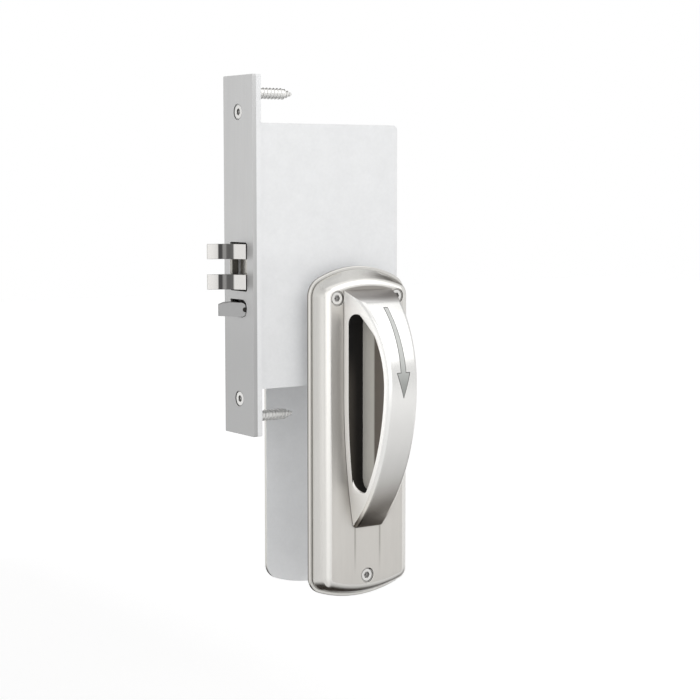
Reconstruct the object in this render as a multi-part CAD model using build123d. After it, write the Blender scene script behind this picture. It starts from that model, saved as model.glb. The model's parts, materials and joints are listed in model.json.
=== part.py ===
from build123d import *
from math import acos, atan2, cos, degrees, floor, hypot, pi, radians, sin, tan
import os

os.makedirs("parts", exist_ok=True)

# Millimetres. X runs into the door from the seat of the inner front, Y to the far side of the door, Z up.

# Door that the lock is made for
DOOR_T = 44.45
BACKSET = 65.0

# Clearances
GAP = 0.3            # between pieces that move past each other
RUN_FIT = 0.05       # radial, journal in bore
SEAT_GAP = 0.05      # radial, fastener in its own hole
HEAD_GAP = 0.5       # radial, sunk front screw head in its counterbore
TRIM_HEAD_GAP = 0.8  # radial, sunk trim screw head in its counterbore

# Facets of every coil spring
COIL_STEPS = 9
COIL_SIDES = 4

# Fronts on the door edge
FRONT_H = 203.2
FRONT_W = 31.75
FRONT_CORNER_R = 0.8
INNER_T = 3.2
ARMOR_T = 2.4
ARMOR_SCREW_Z = 81.2
ARMOR_SCREW_R = 2.0
ARMOR_HEAD_R = 4.0
ARMOR_HEAD_H = 1.4
ARMOR_HEAD_SINK = 0.3
MOUNT_SCREW_Z = 92.0
MOUNT_SHANK_R = 2.75
MOUNT_NECK_R = 3.6
MOUNT_HEAD_R = 5.0
MOUNT_HEAD_H = 1.8
MOUNT_SHANK_L = 24.0
MOUNT_TIP_L = 6.0
MOUNT_TIP_R = 0.45
RIVET_R = 2.5
RIVET_HEAD_R = 4.2
RIVET_HEAD_H = 1.5
RIVET_Z = (40.0, -58.0)

# Lock case
CASE_L = 96.0
CASE_H = 150.0
CASE_D = 25.4
SHEET_T = 2.0
CASE_BEND_R = 3.0
CASE_POST_R = 4.0
CASE_POST_INSET = 9.0
CASE_POST_CLEAR = 2.0
COVER_SCREW_R = 1.7
COVER_HEAD_R = 3.3
COVER_HEAD_H = 1.4
COVER_SCREW_L = 9.0

# Latch bolt
LATCH_Z = -5.8
LATCH_H = 25.8
FORK_GAP = 8.7
FORK_DEPTH = 6.0
LATCH_NEAR_Y = -7.6
LATCH_FAR_Y = 8.0
LATCH_THROW = 16.2
LATCH_TIP_W = 1.5
LATCH_BELLY = 3.0
LATCH_ROOT_L = 21.6
LATCH_HOLE_GAP_Y = 1.5
LATCH_HOLE_GAP_Z = 0.9
LATCH_HOLE_R = 1.2
LATCH_LUG_L = 5.0
LATCH_LUG_H = 7.0
TAIL_R = 3.5
TAIL_L = 36.0
TAIL_TENON_L = 5.0
TAB_T = 3.0
TAB_W = 8.0
TAB_BELOW = 1.4
STEM_GUIDE_T = 2.5
STEM_GUIDE_W = 16.0
STEM_GUIDE_BACK = 23.6
STEM_FOOT_L = 9.0
LATCH_SPRING_R = 5.0
LATCH_SPRING_WIRE = 1.0
LATCH_SPRING_TURNS = 5

# Auxiliary latch
AUX_Z = -30.0
AUX_H = 8.0
AUX_NEAR_Y = -7.2
AUX_FAR_Y = 8.0
AUX_THROW = 9.0
AUX_TRAVEL = 8.5
AUX_ROOT_L = 14.0
AUX_TIP_W = 1.5
AUX_CORNER_R = 2.2
AUX_TIP_DROP = 1.2
AUX_TIP_SLOPE = 3.5
AUX_HOLE_GAP_Y = 1.4
AUX_HOLE_GAP_Z = 1.0
AUX_HOLE_LIFT = 0.6
AUX_STEM_R = 2.0
AUX_STEM_DROP = 0.6
AUX_STEM_L = 19.5
AUX_GUIDE_T = 2.0
AUX_GUIDE_BACK = 16.0
AUX_GUIDE_W = 11.0
AUX_FOOT_L = 4.0
AUX_SPRING_R = 3.3
AUX_SPRING_WIRE = 0.8
AUX_SPRING_TURNS = 6
AUX_PIN_R = 1.8
AUX_PIN_X = 9.0

# Guard lever
GUARD_ARM = 24.0
GUARD_L = 35.5
GUARD_W = 9.0
GUARD_T = 2.3
GUARD_PIN_R = 3.0
GUARD_PIN_HEAD_R = 4.6
GUARD_PIN_HEAD_H = 1.0
GUARD_NOSE = 4.0
GUARD_LIFT = 0.4

# Drive from the trim to the latch
SPINDLE_Z = -46.0
SPINDLE_S = 8.0
SPINDLE_CHAMFER = 0.7
SPINDLE_END_Y = 11.5
GEAR_MODULE = 1.5
PINION_TEETH = 17
PRESSURE_ANGLE = 20.0
BACKLASH = 0.5
DEDENDUM = 1.25      # in modules
PINION_T = 5.2
PINION_JOURNAL_R = 8.0
BUSH_WALL = 2.0
CLIP_R = 6.2
CLIP_T = 0.8
CLIP_INSET = 0.2
CLIP_PLAY = 0.1
HUB_R = 12.0
HUB_JOURNAL_R = 8.0
HUB_ARM_T = 8.0
HUB_NOSE_R = 3.2
HUB_ARM_ROOT_W = 10.0
HUB_ARM_END_W = 4.0
HUB_SIDE_GAP = 0.5
TAB_GAP = 0.4

# Trim on the near side
TRIM_W = 67.0
TRIM_H = 193.0
TRIM_TOP_Z = -6.3
TRIM_TOP_RISE = 10.2
TRIM_BOTTOM_RISE = 7.4
TRIM_TOP_R = 12.0
TRIM_BOTTOM_R = 10.0
BACK_PLATE_T = 2.5
LIP = 1.7
ESC_H = 10.0
ESC_FOOT = 0.6
ESC_SIDE_BEVEL = 3.5
ESC_TOP_BEVEL = 6.4
ESC_RIDGE_R = 5.0
ESC_WALL = 3.0
FACE_TOP_RISE = 4.5
FACE_TOP_R = 6.0
FACE_BOTTOM_RISE = 5.3
FACE_BOTTOM_R = 6.0
CAVITY_W = 43.0
CAVITY_TOP_Z = -18.5
CAVITY_BOTTOM_Z = -171.5
CAVITY_R = 4.0
TRIM_BOSS_R = 5.0
TRIM_SCREW_X = 20.7
TRIM_SCREW_Z = -23.7
TRIM_SCREW_LOW_Z = -185.6
TRIM_SCREW_R = 2.45
TRIM_HEAD_R = 3.6
TRIM_HEAD_H = 1.8
TRIM_HEAD_SINK = 0.6
TRIM_SCREW_L = 24.0
SOCKET_R = 2.0
SOCKET_DEPTH = 1.2
POST_R = 4.0
POST_SINK = 2.0
POST_CLEAR = 0.5
POST_BORE_L = 20.0
OUTSIDE_T = 3.0
OUTSIDE_EDGE = 1.0

# Arch handle and what it carries
HANDLE_TRAVEL = 10.0
HANDLE_TOP_Z = -19.3
HANDLE_L = 137.6
HANDLE_TOP_W = 33.0
HANDLE_BOTTOM_W = 20.2
HANDLE_FOOT_R = 2.5
HANDLE_STRAIGHT = 61.0
HANDLE_DRAFT = 10.5
HANDLE_REACH = 35.2
HANDLE_CROWN = 52.5
HANDLE_LEDGE = 13.9
HANDLE_LEDGE_DROP = 6.2
HANDLE_LIP = 1.2
HANDLE_EDGE_R = 3.0
STRAP_T = 4.2
RIM_T = 3.4
RECESS_TOP = 13.0
RECESS_BOTTOM = 22.5
RECESS_TOP_R = 6.0
RECESS_BOTTOM_R = 3.1
WEB_T = 11.6
BOSS_R = 4.0
BOSS_Z = (-76.0, -132.0)
SLOT_CLEAR = 0.35
SLIDE_W = 28.0
SLIDE_T = 4.8
SLIDE_TOP_Z = -63.0
SLIDE_BOTTOM_Z = -141.0
RACK_BACK = 6.5
RACK_ABOVE = 3
HANDLE_SCREW_R = 2.0
HANDLE_SCREW_HEAD_R = 3.8
HANDLE_SCREW_HEAD_H = 2.2
HANDLE_SCREW_L = 9.0
HANDLE_SCREW_SPARE = 1.0
RETURN_SPRING_X = 9.5
RETURN_SPRING_R = 2.3
RETURN_SPRING_WIRE = 0.8
RETURN_SPRING_TURNS = 9

# Places that follow from the sizes above
FRONT_T = INNER_T + ARMOR_T
EDGE_X = -FRONT_T
SPINDLE_X = EDGE_X + BACKSET
NEAR_Y = -DOOR_T / 2
FAR_Y = DOOR_T / 2
ESC_BACK_Y = NEAR_Y - BACK_PLATE_T
FACE_Y = ESC_BACK_Y - ESC_H
CAVITY_Y = FACE_Y + ESC_WALL
WALL_Y = CASE_D / 2
FLOOR_Y = -WALL_Y + SHEET_T
LID_Y = WALL_Y - SHEET_T
TRIM_BOTTOM_Z = TRIM_TOP_Z - TRIM_H
TRIM_SCREWS = (
    (SPINDLE_X - TRIM_SCREW_X, TRIM_SCREW_Z),
    (SPINDLE_X + TRIM_SCREW_X, TRIM_SCREW_Z),
    (SPINDLE_X, TRIM_SCREW_LOW_Z),
)
PITCH_R = GEAR_MODULE * PINION_TEETH / 2
TURN = HANDLE_TRAVEL / PITCH_R
ARM_R = LATCH_THROW / 2 / sin(TURN / 2)
NOSE_X = SPINDLE_X - ARM_R * sin(TURN / 2)
NOSE_Z = SPINDLE_Z + ARM_R * cos(TURN / 2)
TAB_X = NOSE_X + HUB_NOSE_R + TAB_GAP
LATCH_TOP_Z = LATCH_Z + LATCH_H / 2
LATCH_LOW_Z = LATCH_Z - LATCH_H / 2
LATCH_ROOT_X = EDGE_X + FORK_DEPTH
LATCH_BACK_X = LATCH_ROOT_X + LATCH_ROOT_L
LATCH_TIP_X = EDGE_X - LATCH_THROW
STEM_GUIDE_X = LATCH_BACK_X + STEM_GUIDE_BACK
AUX_TIP_X = EDGE_X - AUX_THROW
AUX_BACK_X = AUX_ROOT_L
AUX_GUIDE_X = AUX_BACK_X + AUX_GUIDE_BACK
AUX_STEM_Z = AUX_Z - AUX_STEM_DROP
GUARD_X = AUX_PIN_X + AUX_TRAVEL / 2
GUARD_Z = AUX_Z - GUARD_ARM
GUARD_REST = degrees(atan2(AUX_TRAVEL / 2, GUARD_ARM))
CASE_POST_X = GUARD_X + GUARD_W / 2 + CASE_POST_CLEAR + CASE_POST_R
HANDLE_Y = FACE_Y - GAP
SLIDE_FRONT_Y = CAVITY_Y + GAP
SLIDE_BACK_Y = SLIDE_FRONT_Y + SLIDE_T
SPINDLE_TIP_Y = CAVITY_Y + GAP
CLIP_Y = SPINDLE_TIP_Y + CLIP_INSET
PINION_FRONT_Y = CLIP_Y + CLIP_T + CLIP_PLAY
PINION_BACK_Y = PINION_FRONT_Y + PINION_T


def block(x0, x1, y0, y1, z0, z1):
    middle = ((x0 + x1) / 2, (y0 + y1) / 2, (z0 + z1) / 2)
    return Pos(*middle) * Box(x1 - x0, y1 - y0, z1 - z0)


def rod_x(radius, x0, x1, y, z):
    return Pos((x0 + x1) / 2, y, z) * Rot(0, 90, 0) * Cylinder(radius, x1 - x0)


def rod_y(radius, y0, y1, x, z):
    return Pos(x, (y0 + y1) / 2, z) * Rot(-90, 0, 0) * Cylinder(radius, y1 - y0)


def cone_x(r0, r1, x0, x1, y, z):
    return Pos((x0 + x1) / 2, y, z) * Rot(0, 90, 0) * Cone(r0, r1, x1 - x0)


def cone_y(r0, r1, y0, y1, x, z):
    return Pos(x, (y0 + y1) / 2, z) * Rot(-90, 0, 0) * Cone(r0, r1, y1 - y0)


def coil(radius, wire, length, turns):
    """Open coil along +Z from Z = 0, lofted through wire sections, with its ends inside the length."""
    rise = (length - wire) / turns / COIL_STEPS
    sections = []
    for i in range(turns * COIL_STEPS + 1):
        turn = 2 * pi * i / COIL_STEPS
        out = (cos(turn), sin(turn), 0)
        along = (-radius * sin(turn), radius * cos(turn), rise * COIL_STEPS / 2 / pi)
        centre = (radius * cos(turn), radius * sin(turn), wire / 2 + rise * i)
        section = Plane(centre, x_dir=out, z_dir=along) * RegularPolygon(wire / 2, COIL_SIDES)
        sections.append(section.face())
    return loft(sections, ruled=True)


def save(shape, node):
    export_step(shape, f"parts/{node}.step")


# Openings that the fronts and the case wall share
def latch_opening(x0, x1):
    hole = block(
        x0,
        x1,
        LATCH_NEAR_Y - LATCH_HOLE_GAP_Y,
        LATCH_FAR_Y + LATCH_HOLE_GAP_Y,
        LATCH_LOW_Z - LATCH_HOLE_GAP_Z,
        LATCH_TOP_Z + LATCH_HOLE_GAP_Z,
    )
    return fillet(hole.edges().filter_by(Axis.X), LATCH_HOLE_R)


def aux_opening(x0, x1):
    half = AUX_H / 2 + AUX_HOLE_GAP_Z
    near_y = AUX_NEAR_Y - AUX_HOLE_GAP_Y
    far_y = AUX_FAR_Y + AUX_HOLE_GAP_Y
    hole_z = AUX_Z + AUX_HOLE_LIFT
    slot = block(x0, x1, near_y + half, far_y, hole_z - half, hole_z + half)
    return slot + rod_x(half, x0, x1, near_y + half, hole_z)


def front_plate(x0, x1):
    plate = block(x0, x1, -FRONT_W / 2, FRONT_W / 2, -FRONT_H / 2, FRONT_H / 2)
    plate = fillet(plate.edges().filter_by(Axis.X), FRONT_CORNER_R)
    return plate - latch_opening(x0, x1) - aux_opening(x0, x1)


# Armour front, with its screws sunk a little below the face
armor = front_plate(EDGE_X, -INNER_T)
inner = front_plate(-INNER_T, 0)
armor_screws = Part()
for z in (ARMOR_SCREW_Z, -ARMOR_SCREW_Z):
    hole_r = ARMOR_SCREW_R + SEAT_GAP
    head_x = EDGE_X + ARMOR_HEAD_SINK
    neck_x = head_x + ARMOR_HEAD_H
    armor -= rod_x(hole_r, EDGE_X, -INNER_T, 0, z)
    armor -= rod_x(ARMOR_HEAD_R + HEAD_GAP, EDGE_X, head_x, 0, z)
    armor -= cone_x(ARMOR_HEAD_R + SEAT_GAP, hole_r, head_x, neck_x, 0, z)
    inner -= rod_x(hole_r, -INNER_T, 0, 0, z)
    screw = rod_x(ARMOR_SCREW_R, head_x, -SEAT_GAP, 0, z)
    screw += cone_x(ARMOR_HEAD_R, ARMOR_SCREW_R, head_x, neck_x, 0, z)
    socket = Pos(head_x, 0, z) * Rot(0, 90, 0) * extrude(RegularPolygon(SOCKET_R, 6), SOCKET_DEPTH)
    armor_screws += screw - socket
save(armor, "armor_front")
save(armor_screws, "armor_screws")

# Mounting screws under the armour, threaded into the door edge
mounting_screws = Part()
for z in (MOUNT_SCREW_Z, -MOUNT_SCREW_Z):
    neck_x = -INNER_T + MOUNT_HEAD_H
    inner -= rod_x(MOUNT_NECK_R + SEAT_GAP, -INNER_T, 0, 0, z)
    inner -= cone_x(MOUNT_HEAD_R + SEAT_GAP, MOUNT_NECK_R + SEAT_GAP, -INNER_T, neck_x, 0, z)
    screw = cone_x(MOUNT_HEAD_R, MOUNT_NECK_R, -INNER_T, neck_x, 0, z)
    screw += rod_x(MOUNT_NECK_R, neck_x, 0, 0, z)
    screw += rod_x(MOUNT_SHANK_R, 0, MOUNT_SHANK_L, 0, z)
    tip_x = MOUNT_SHANK_L + MOUNT_TIP_L
    screw += cone_x(MOUNT_SHANK_R, MOUNT_TIP_R, MOUNT_SHANK_L, tip_x, 0, z)
    socket = Pos(-INNER_T, 0, z) * Rot(0, 90, 0) * extrude(RegularPolygon(SOCKET_R, 6), SOCKET_DEPTH)
    mounting_screws += screw - socket
save(mounting_screws, "mounting_screws")

# Folded case, open on the far side, and its cover
case = block(0, CASE_L, -WALL_Y, LID_Y, -CASE_H / 2, CASE_H / 2)
case = fillet(case.edges().filter_by(Axis.Y), CASE_BEND_R)
hollow = block(
    SHEET_T,
    CASE_L - SHEET_T,
    FLOOR_Y,
    LID_Y,
    -CASE_H / 2 + SHEET_T,
    CASE_H / 2 - SHEET_T,
)
case -= fillet(hollow.edges().filter_by(Axis.Y), CASE_BEND_R - SHEET_T)
case -= latch_opening(0, SHEET_T) + aux_opening(0, SHEET_T)
cover = block(0, CASE_L, LID_Y, WALL_Y, -CASE_H / 2, CASE_H / 2)
cover = fillet(cover.edges().filter_by(Axis.Y), CASE_BEND_R)

rivets = Part()
for z in RIVET_Z:
    hole = rod_x(RIVET_R + SEAT_GAP, -INNER_T, SHEET_T, 0, z)
    sink = cone_x(RIVET_HEAD_R + SEAT_GAP, RIVET_R + SEAT_GAP, -INNER_T, -INNER_T + RIVET_HEAD_H, 0, z)
    inner -= hole + sink
    case -= hole
    rivet = rod_x(RIVET_R, -INNER_T, SHEET_T, 0, z)
    rivet += cone_x(RIVET_HEAD_R, RIVET_R, -INNER_T, -INNER_T + RIVET_HEAD_H, 0, z)
    rivets += rivet + rod_x(RIVET_HEAD_R, SHEET_T, SHEET_T + RIVET_HEAD_H, 0, z)
save(inner, "inner_front")
save(rivets, "front_rivets")

case_posts = Part()
cover_screws = Part()
for x in (CASE_POST_X, CASE_L - CASE_POST_INSET):
    for z in (CASE_POST_INSET - CASE_H / 2, CASE_H / 2 - CASE_POST_INSET):
        hole_r = COVER_SCREW_R + SEAT_GAP
        post = rod_y(CASE_POST_R, FLOOR_Y, LID_Y, x, z)
        case_posts += post - rod_y(hole_r, LID_Y - COVER_SCREW_L, LID_Y, x, z)
        cover -= rod_y(hole_r, LID_Y, WALL_Y, x, z)
        cover -= cone_y(hole_r, COVER_HEAD_R + SEAT_GAP, WALL_Y - COVER_HEAD_H, WALL_Y, x, z)
        screw = rod_y(COVER_SCREW_R, WALL_Y - COVER_SCREW_L, WALL_Y, x, z)
        cover_screws += screw + cone_y(COVER_SCREW_R, COVER_HEAD_R, WALL_Y - COVER_HEAD_H, WALL_Y, x, z)
save(case_posts, "case_posts")
save(cover_screws, "cover_screws")

side_holes = rod_y(HUB_JOURNAL_R + RUN_FIT, -WALL_Y, WALL_Y, SPINDLE_X, SPINDLE_Z)
for x, z in TRIM_SCREWS[:2]:
    side_holes += rod_y(POST_R + POST_CLEAR, -WALL_Y, WALL_Y, x, z)
case -= side_holes
cover -= side_holes
save(case, "lock_case")
save(cover, "case_cover")

# Forked latch bolt: one concave bevel on the near side, cut through by the fork gap
bevel = Spline(
    (EDGE_X, LATCH_NEAR_Y),
    (EDGE_X - LATCH_THROW / 2, LATCH_FAR_Y - LATCH_TIP_W - LATCH_BELLY),
    (LATCH_TIP_X, LATCH_FAR_Y - LATCH_TIP_W),
    tangents=((-0.45, 1), (-1, 0.22)),
)
plan = bevel + Polyline(
    (LATCH_TIP_X, LATCH_FAR_Y - LATCH_TIP_W),
    (LATCH_TIP_X, LATCH_FAR_Y),
    (LATCH_BACK_X, LATCH_FAR_Y),
    (LATCH_BACK_X, LATCH_NEAR_Y),
    (EDGE_X, LATCH_NEAR_Y),
)
latch = Pos(0, 0, LATCH_LOW_Z) * extrude(make_face(plan), LATCH_H)
latch -= block(
    LATCH_TIP_X,
    LATCH_ROOT_X,
    LATCH_NEAR_Y,
    LATCH_FAR_Y,
    LATCH_Z - FORK_GAP / 2,
    LATCH_Z + FORK_GAP / 2,
)
latch += block(
    LATCH_BACK_X - LATCH_LUG_L,
    LATCH_BACK_X,
    FLOOR_Y + GAP,
    LATCH_NEAR_Y,
    LATCH_Z - LATCH_LUG_H / 2,
    LATCH_Z + LATCH_LUG_H / 2,
)
latch -= rod_x(TAIL_R + SEAT_GAP, LATCH_BACK_X - TAIL_TENON_L, LATCH_BACK_X, 0, LATCH_Z)
save(latch, "latch_bolt")

tail = rod_x(TAIL_R, LATCH_BACK_X - TAIL_TENON_L, LATCH_BACK_X + TAIL_L, 0, LATCH_Z)
tail += block(
    TAB_X,
    TAB_X + TAB_T,
    -TAB_W / 2,
    TAB_W / 2,
    NOSE_Z - TAB_BELOW,
    LATCH_Z,
)
save(tail, "latch_tail")

# Guides folded up from feet on the case floor
def guide(x, thick, width, foot_l, z, bore_r):
    plate = block(x, x + thick, FLOOR_Y, width / 2, z - width / 2, z + width / 2)
    plate = fillet(plate.edges().filter_by(Axis.X).group_by(Axis.Y)[-1], width / 4)
    foot = block(x, x + foot_l, FLOOR_Y, FLOOR_Y + thick, z - width / 2, z + width / 2)
    return plate + foot - rod_x(bore_r, x, x + thick, 0, z)


stem_guide = guide(STEM_GUIDE_X, STEM_GUIDE_T, STEM_GUIDE_W, STEM_FOOT_L, LATCH_Z, TAIL_R + RUN_FIT)
save(stem_guide, "stem_guide")
latch_coil = coil(LATCH_SPRING_R, LATCH_SPRING_WIRE, STEM_GUIDE_BACK - GAP, LATCH_SPRING_TURNS)
save(Pos(LATCH_BACK_X + GAP, 0, LATCH_Z) * Rot(0, 90, 0) * latch_coil, "latch_spring")

# Auxiliary latch
plan = Polyline(
    (EDGE_X, AUX_NEAR_Y),
    (AUX_TIP_X, AUX_FAR_Y - AUX_TIP_W),
    (AUX_TIP_X, AUX_FAR_Y),
    (AUX_BACK_X, AUX_FAR_Y),
    (AUX_BACK_X, AUX_NEAR_Y),
    close=True,
)
aux = Pos(0, 0, AUX_Z - AUX_H / 2) * extrude(make_face(plan), AUX_H)
near_edges = aux.edges().filter_by(Axis.X).group_by(Axis.Y)[0]
aux = fillet(near_edges, AUX_CORNER_R)
aux_top = AUX_Z + AUX_H / 2
tip_slope = Polyline(
    (AUX_TIP_X, aux_top - AUX_TIP_DROP),
    (AUX_TIP_X + AUX_TIP_SLOPE, aux_top),
    (AUX_TIP_X, aux_top),
    close=True,
)
aux -= Pos(0, AUX_FAR_Y, 0) * extrude(Plane.XZ * make_face(tip_slope), AUX_FAR_Y - AUX_NEAR_Y)
aux += rod_x(AUX_STEM_R, AUX_BACK_X, AUX_BACK_X + AUX_STEM_L, 0, AUX_STEM_Z)
aux += rod_y(AUX_PIN_R, FLOOR_Y + GAP, AUX_NEAR_Y + AUX_CORNER_R, AUX_PIN_X, AUX_Z)
save(aux, "aux_latch")
aux_bore_r = AUX_STEM_R + RUN_FIT
aux_guide = guide(AUX_GUIDE_X, AUX_GUIDE_T, AUX_GUIDE_W, AUX_FOOT_L, AUX_STEM_Z, aux_bore_r)
save(aux_guide, "aux_guide")
aux_coil = coil(AUX_SPRING_R, AUX_SPRING_WIRE, AUX_GUIDE_BACK - GAP, AUX_SPRING_TURNS)
save(Pos(AUX_BACK_X + GAP, 0, AUX_STEM_Z) * Rot(0, 90, 0) * aux_coil, "aux_spring")

# Guard lever, slotted over the auxiliary latch's pin
guard_back_y = FLOOR_Y + GUARD_LIFT
lever = block(-GUARD_W / 2, GUARD_W / 2, 0, GUARD_T, 0, GUARD_L)
lever += rod_y(GUARD_W / 2, 0, GUARD_T, 0, 0)
lever += block(0, GUARD_W / 2 + GUARD_NOSE, 0, GUARD_T, GUARD_L - GUARD_NOSE, GUARD_L)
slot_end = hypot(GUARD_ARM, AUX_TRAVEL / 2)
slot_r = AUX_PIN_R + GAP
for z in (GUARD_ARM, slot_end):
    lever -= rod_y(slot_r, 0, GUARD_T, 0, z)
lever -= block(-slot_r, slot_r, 0, GUARD_T, GUARD_ARM, slot_end)
lever -= rod_y(GUARD_PIN_R + RUN_FIT, 0, GUARD_T, 0, 0)
save(Pos(GUARD_X, guard_back_y, GUARD_Z) * Rot(0, -GUARD_REST, 0) * lever, "guard_lever")
pivot_y = guard_back_y + GUARD_T + GAP
pivot = rod_y(GUARD_PIN_R, FLOOR_Y, pivot_y, GUARD_X, GUARD_Z)
pivot += rod_y(GUARD_PIN_HEAD_R, pivot_y, pivot_y + GUARD_PIN_HEAD_H, GUARD_X, GUARD_Z)
save(pivot, "guard_pivot")

# Hub with its arm, turned about the spindle to where the latch rests
hub_y = LID_Y - HUB_SIDE_GAP
hub = rod_y(HUB_R, -hub_y, hub_y, 0, 0) + rod_y(HUB_JOURNAL_R, -WALL_Y, WALL_Y, 0, 0)
arm = Polyline(
    (-HUB_ARM_ROOT_W / 2, 0),
    (HUB_ARM_ROOT_W / 2, 0),
    (HUB_ARM_END_W / 2, ARM_R),
    (-HUB_ARM_END_W / 2, ARM_R),
    close=True,
)
hub += Pos(0, HUB_ARM_T / 2, 0) * extrude(Plane.XZ * make_face(arm), HUB_ARM_T)
hub += rod_y(HUB_NOSE_R, -HUB_ARM_T / 2, HUB_ARM_T / 2, 0, ARM_R)
hub = Rot(0, -degrees(TURN) / 2, 0) * hub
square = SPINDLE_S / 2 + SEAT_GAP
hub -= block(-square, square, -WALL_Y, WALL_Y, -square, square)
save(Pos(SPINDLE_X, 0, SPINDLE_Z) * hub, "hub")

half = SPINDLE_S / 2
spindle = block(-half, half, SPINDLE_TIP_Y, SPINDLE_END_Y, -half, half)
spindle = chamfer(spindle.edges().filter_by(Axis.Y), SPINDLE_CHAMFER)
save(Pos(SPINDLE_X, 0, SPINDLE_Z) * spindle, "spindle")


# Pinion teeth from the involute of the base circle
def involute(angle):
    return tan(angle) - angle


def pinion_outline():
    base_r = PITCH_R * cos(radians(PRESSURE_ANGLE))
    root_r = PITCH_R - DEDENDUM * GEAR_MODULE
    tip_r = PITCH_R + GEAR_MODULE
    thick = pi * GEAR_MODULE / 2 - BACKLASH / 2
    half_base = thick / 2 / PITCH_R + involute(radians(PRESSURE_ANGLE))
    flank = [(root_r, half_base)]
    for r in (base_r, PITCH_R, tip_r):
        flank.append((r, half_base - involute(acos(min(1, base_r / r)))))
    points = []
    for tooth in range(PINION_TEETH):
        centre = 2 * pi * (tooth + 0.5) / PINION_TEETH
        points += [(r * cos(centre - a), r * sin(centre - a)) for r, a in flank]
        points += [(r * cos(centre + a), r * sin(centre + a)) for r, a in reversed(flank)]
    return make_face(Polyline(*points, close=True))


pinion = Pos(0, PINION_BACK_Y, 0) * extrude(Plane.XZ * pinion_outline(), PINION_T)
pinion += rod_y(PINION_JOURNAL_R, PINION_BACK_Y, NEAR_Y, 0, 0)
pinion -= block(-square, square, PINION_FRONT_Y, NEAR_Y, -square, square)
save(Pos(SPINDLE_X, 0, SPINDLE_Z) * pinion, "pinion")

clip = rod_y(CLIP_R, CLIP_Y, CLIP_Y + CLIP_T, SPINDLE_X, SPINDLE_Z)
clip -= block(
    SPINDLE_X - square,
    SPINDLE_X + square,
    CLIP_Y,
    CLIP_Y + CLIP_T,
    SPINDLE_Z - square,
    SPINDLE_Z + square,
)
save(clip, "spindle_clip")

bush_r = PINION_JOURNAL_R + RUN_FIT + BUSH_WALL
bush = rod_y(bush_r, ESC_BACK_Y, NEAR_Y, SPINDLE_X, SPINDLE_Z)
bush -= rod_y(PINION_JOURNAL_R + RUN_FIT, ESC_BACK_Y, NEAR_Y, SPINDLE_X, SPINDLE_Z)
save(bush, "pinion_bush")


# Outlines with straight sides, arched ends and rounded corners
def arched_outline(half_w, top_z, top_rise, top_r, bottom_z, bottom_rise, bottom_r):
    top = top_z - top_rise
    bottom = bottom_z + bottom_rise
    loop = ThreePointArc((-half_w, top), (0, top_z), (half_w, top))
    loop += Line((half_w, top), (half_w, bottom))
    loop += ThreePointArc((half_w, bottom), (0, bottom_z), (-half_w, bottom))
    loop += Line((-half_w, bottom), (-half_w, top))
    face = make_face(loop)
    face = fillet(face.vertices().group_by(Axis.Y)[-1], top_r)
    return fillet(face.vertices().group_by(Axis.Y)[0], bottom_r)


trim_outline = arched_outline(
    TRIM_W / 2,
    TRIM_TOP_Z,
    TRIM_TOP_RISE,
    TRIM_TOP_R,
    TRIM_BOTTOM_Z,
    TRIM_BOTTOM_RISE,
    TRIM_BOTTOM_R,
)
foot_outline = offset(trim_outline, amount=-LIP)
face_outline = arched_outline(
    TRIM_W / 2 - LIP - ESC_SIDE_BEVEL,
    TRIM_TOP_Z - LIP - ESC_TOP_BEVEL,
    FACE_TOP_RISE,
    FACE_TOP_R,
    TRIM_BOTTOM_Z + LIP + ESC_SIDE_BEVEL,
    FACE_BOTTOM_RISE,
    FACE_BOTTOM_R,
)


def at_y(y):
    return Plane((SPINDLE_X, y, 0), x_dir=(1, 0, 0), z_dir=(0, -1, 0))


post_holes = Part()
for x, z in TRIM_SCREWS:
    post_holes += rod_y(POST_R + GAP, ESC_BACK_Y, NEAR_Y, x, z)
back_plate = extrude(at_y(NEAR_Y) * trim_outline, BACK_PLATE_T)
back_plate -= post_holes
back_plate -= rod_y(bush_r, ESC_BACK_Y, NEAR_Y, SPINDLE_X, SPINDLE_Z)
save(back_plate, "back_plate")

# Cast escutcheon: foot, bevelled body, rounded ridge, hollow back with screw bosses
foot = extrude(at_y(ESC_BACK_Y) * foot_outline, ESC_FOOT)
body = loft([
    (at_y(ESC_BACK_Y - ESC_FOOT) * foot_outline).face(),
    (at_y(FACE_Y) * face_outline).face(),
], ruled=True)
body = fillet(body.faces().sort_by(Axis.Y)[0].edges(), ESC_RIDGE_R)
esc = foot + body
cavity = block(
    SPINDLE_X - CAVITY_W / 2,
    SPINDLE_X + CAVITY_W / 2,
    CAVITY_Y,
    ESC_BACK_Y,
    CAVITY_BOTTOM_Z,
    CAVITY_TOP_Z,
)
cavity = fillet(cavity.edges().filter_by(Axis.Y), CAVITY_R)
for x, z in TRIM_SCREWS[:2]:
    cavity -= rod_y(TRIM_BOSS_R, CAVITY_Y, ESC_BACK_Y, x, z)
esc -= cavity
slot_r = BOSS_R + SLOT_CLEAR
for z in BOSS_Z:
    esc -= rod_y(slot_r, FACE_Y, CAVITY_Y, SPINDLE_X, z)
    esc -= rod_y(slot_r, FACE_Y, CAVITY_Y, SPINDLE_X, z - HANDLE_TRAVEL)
    esc -= block(SPINDLE_X - slot_r, SPINDLE_X + slot_r, FACE_Y, CAVITY_Y, z - HANDLE_TRAVEL, z)

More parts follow.
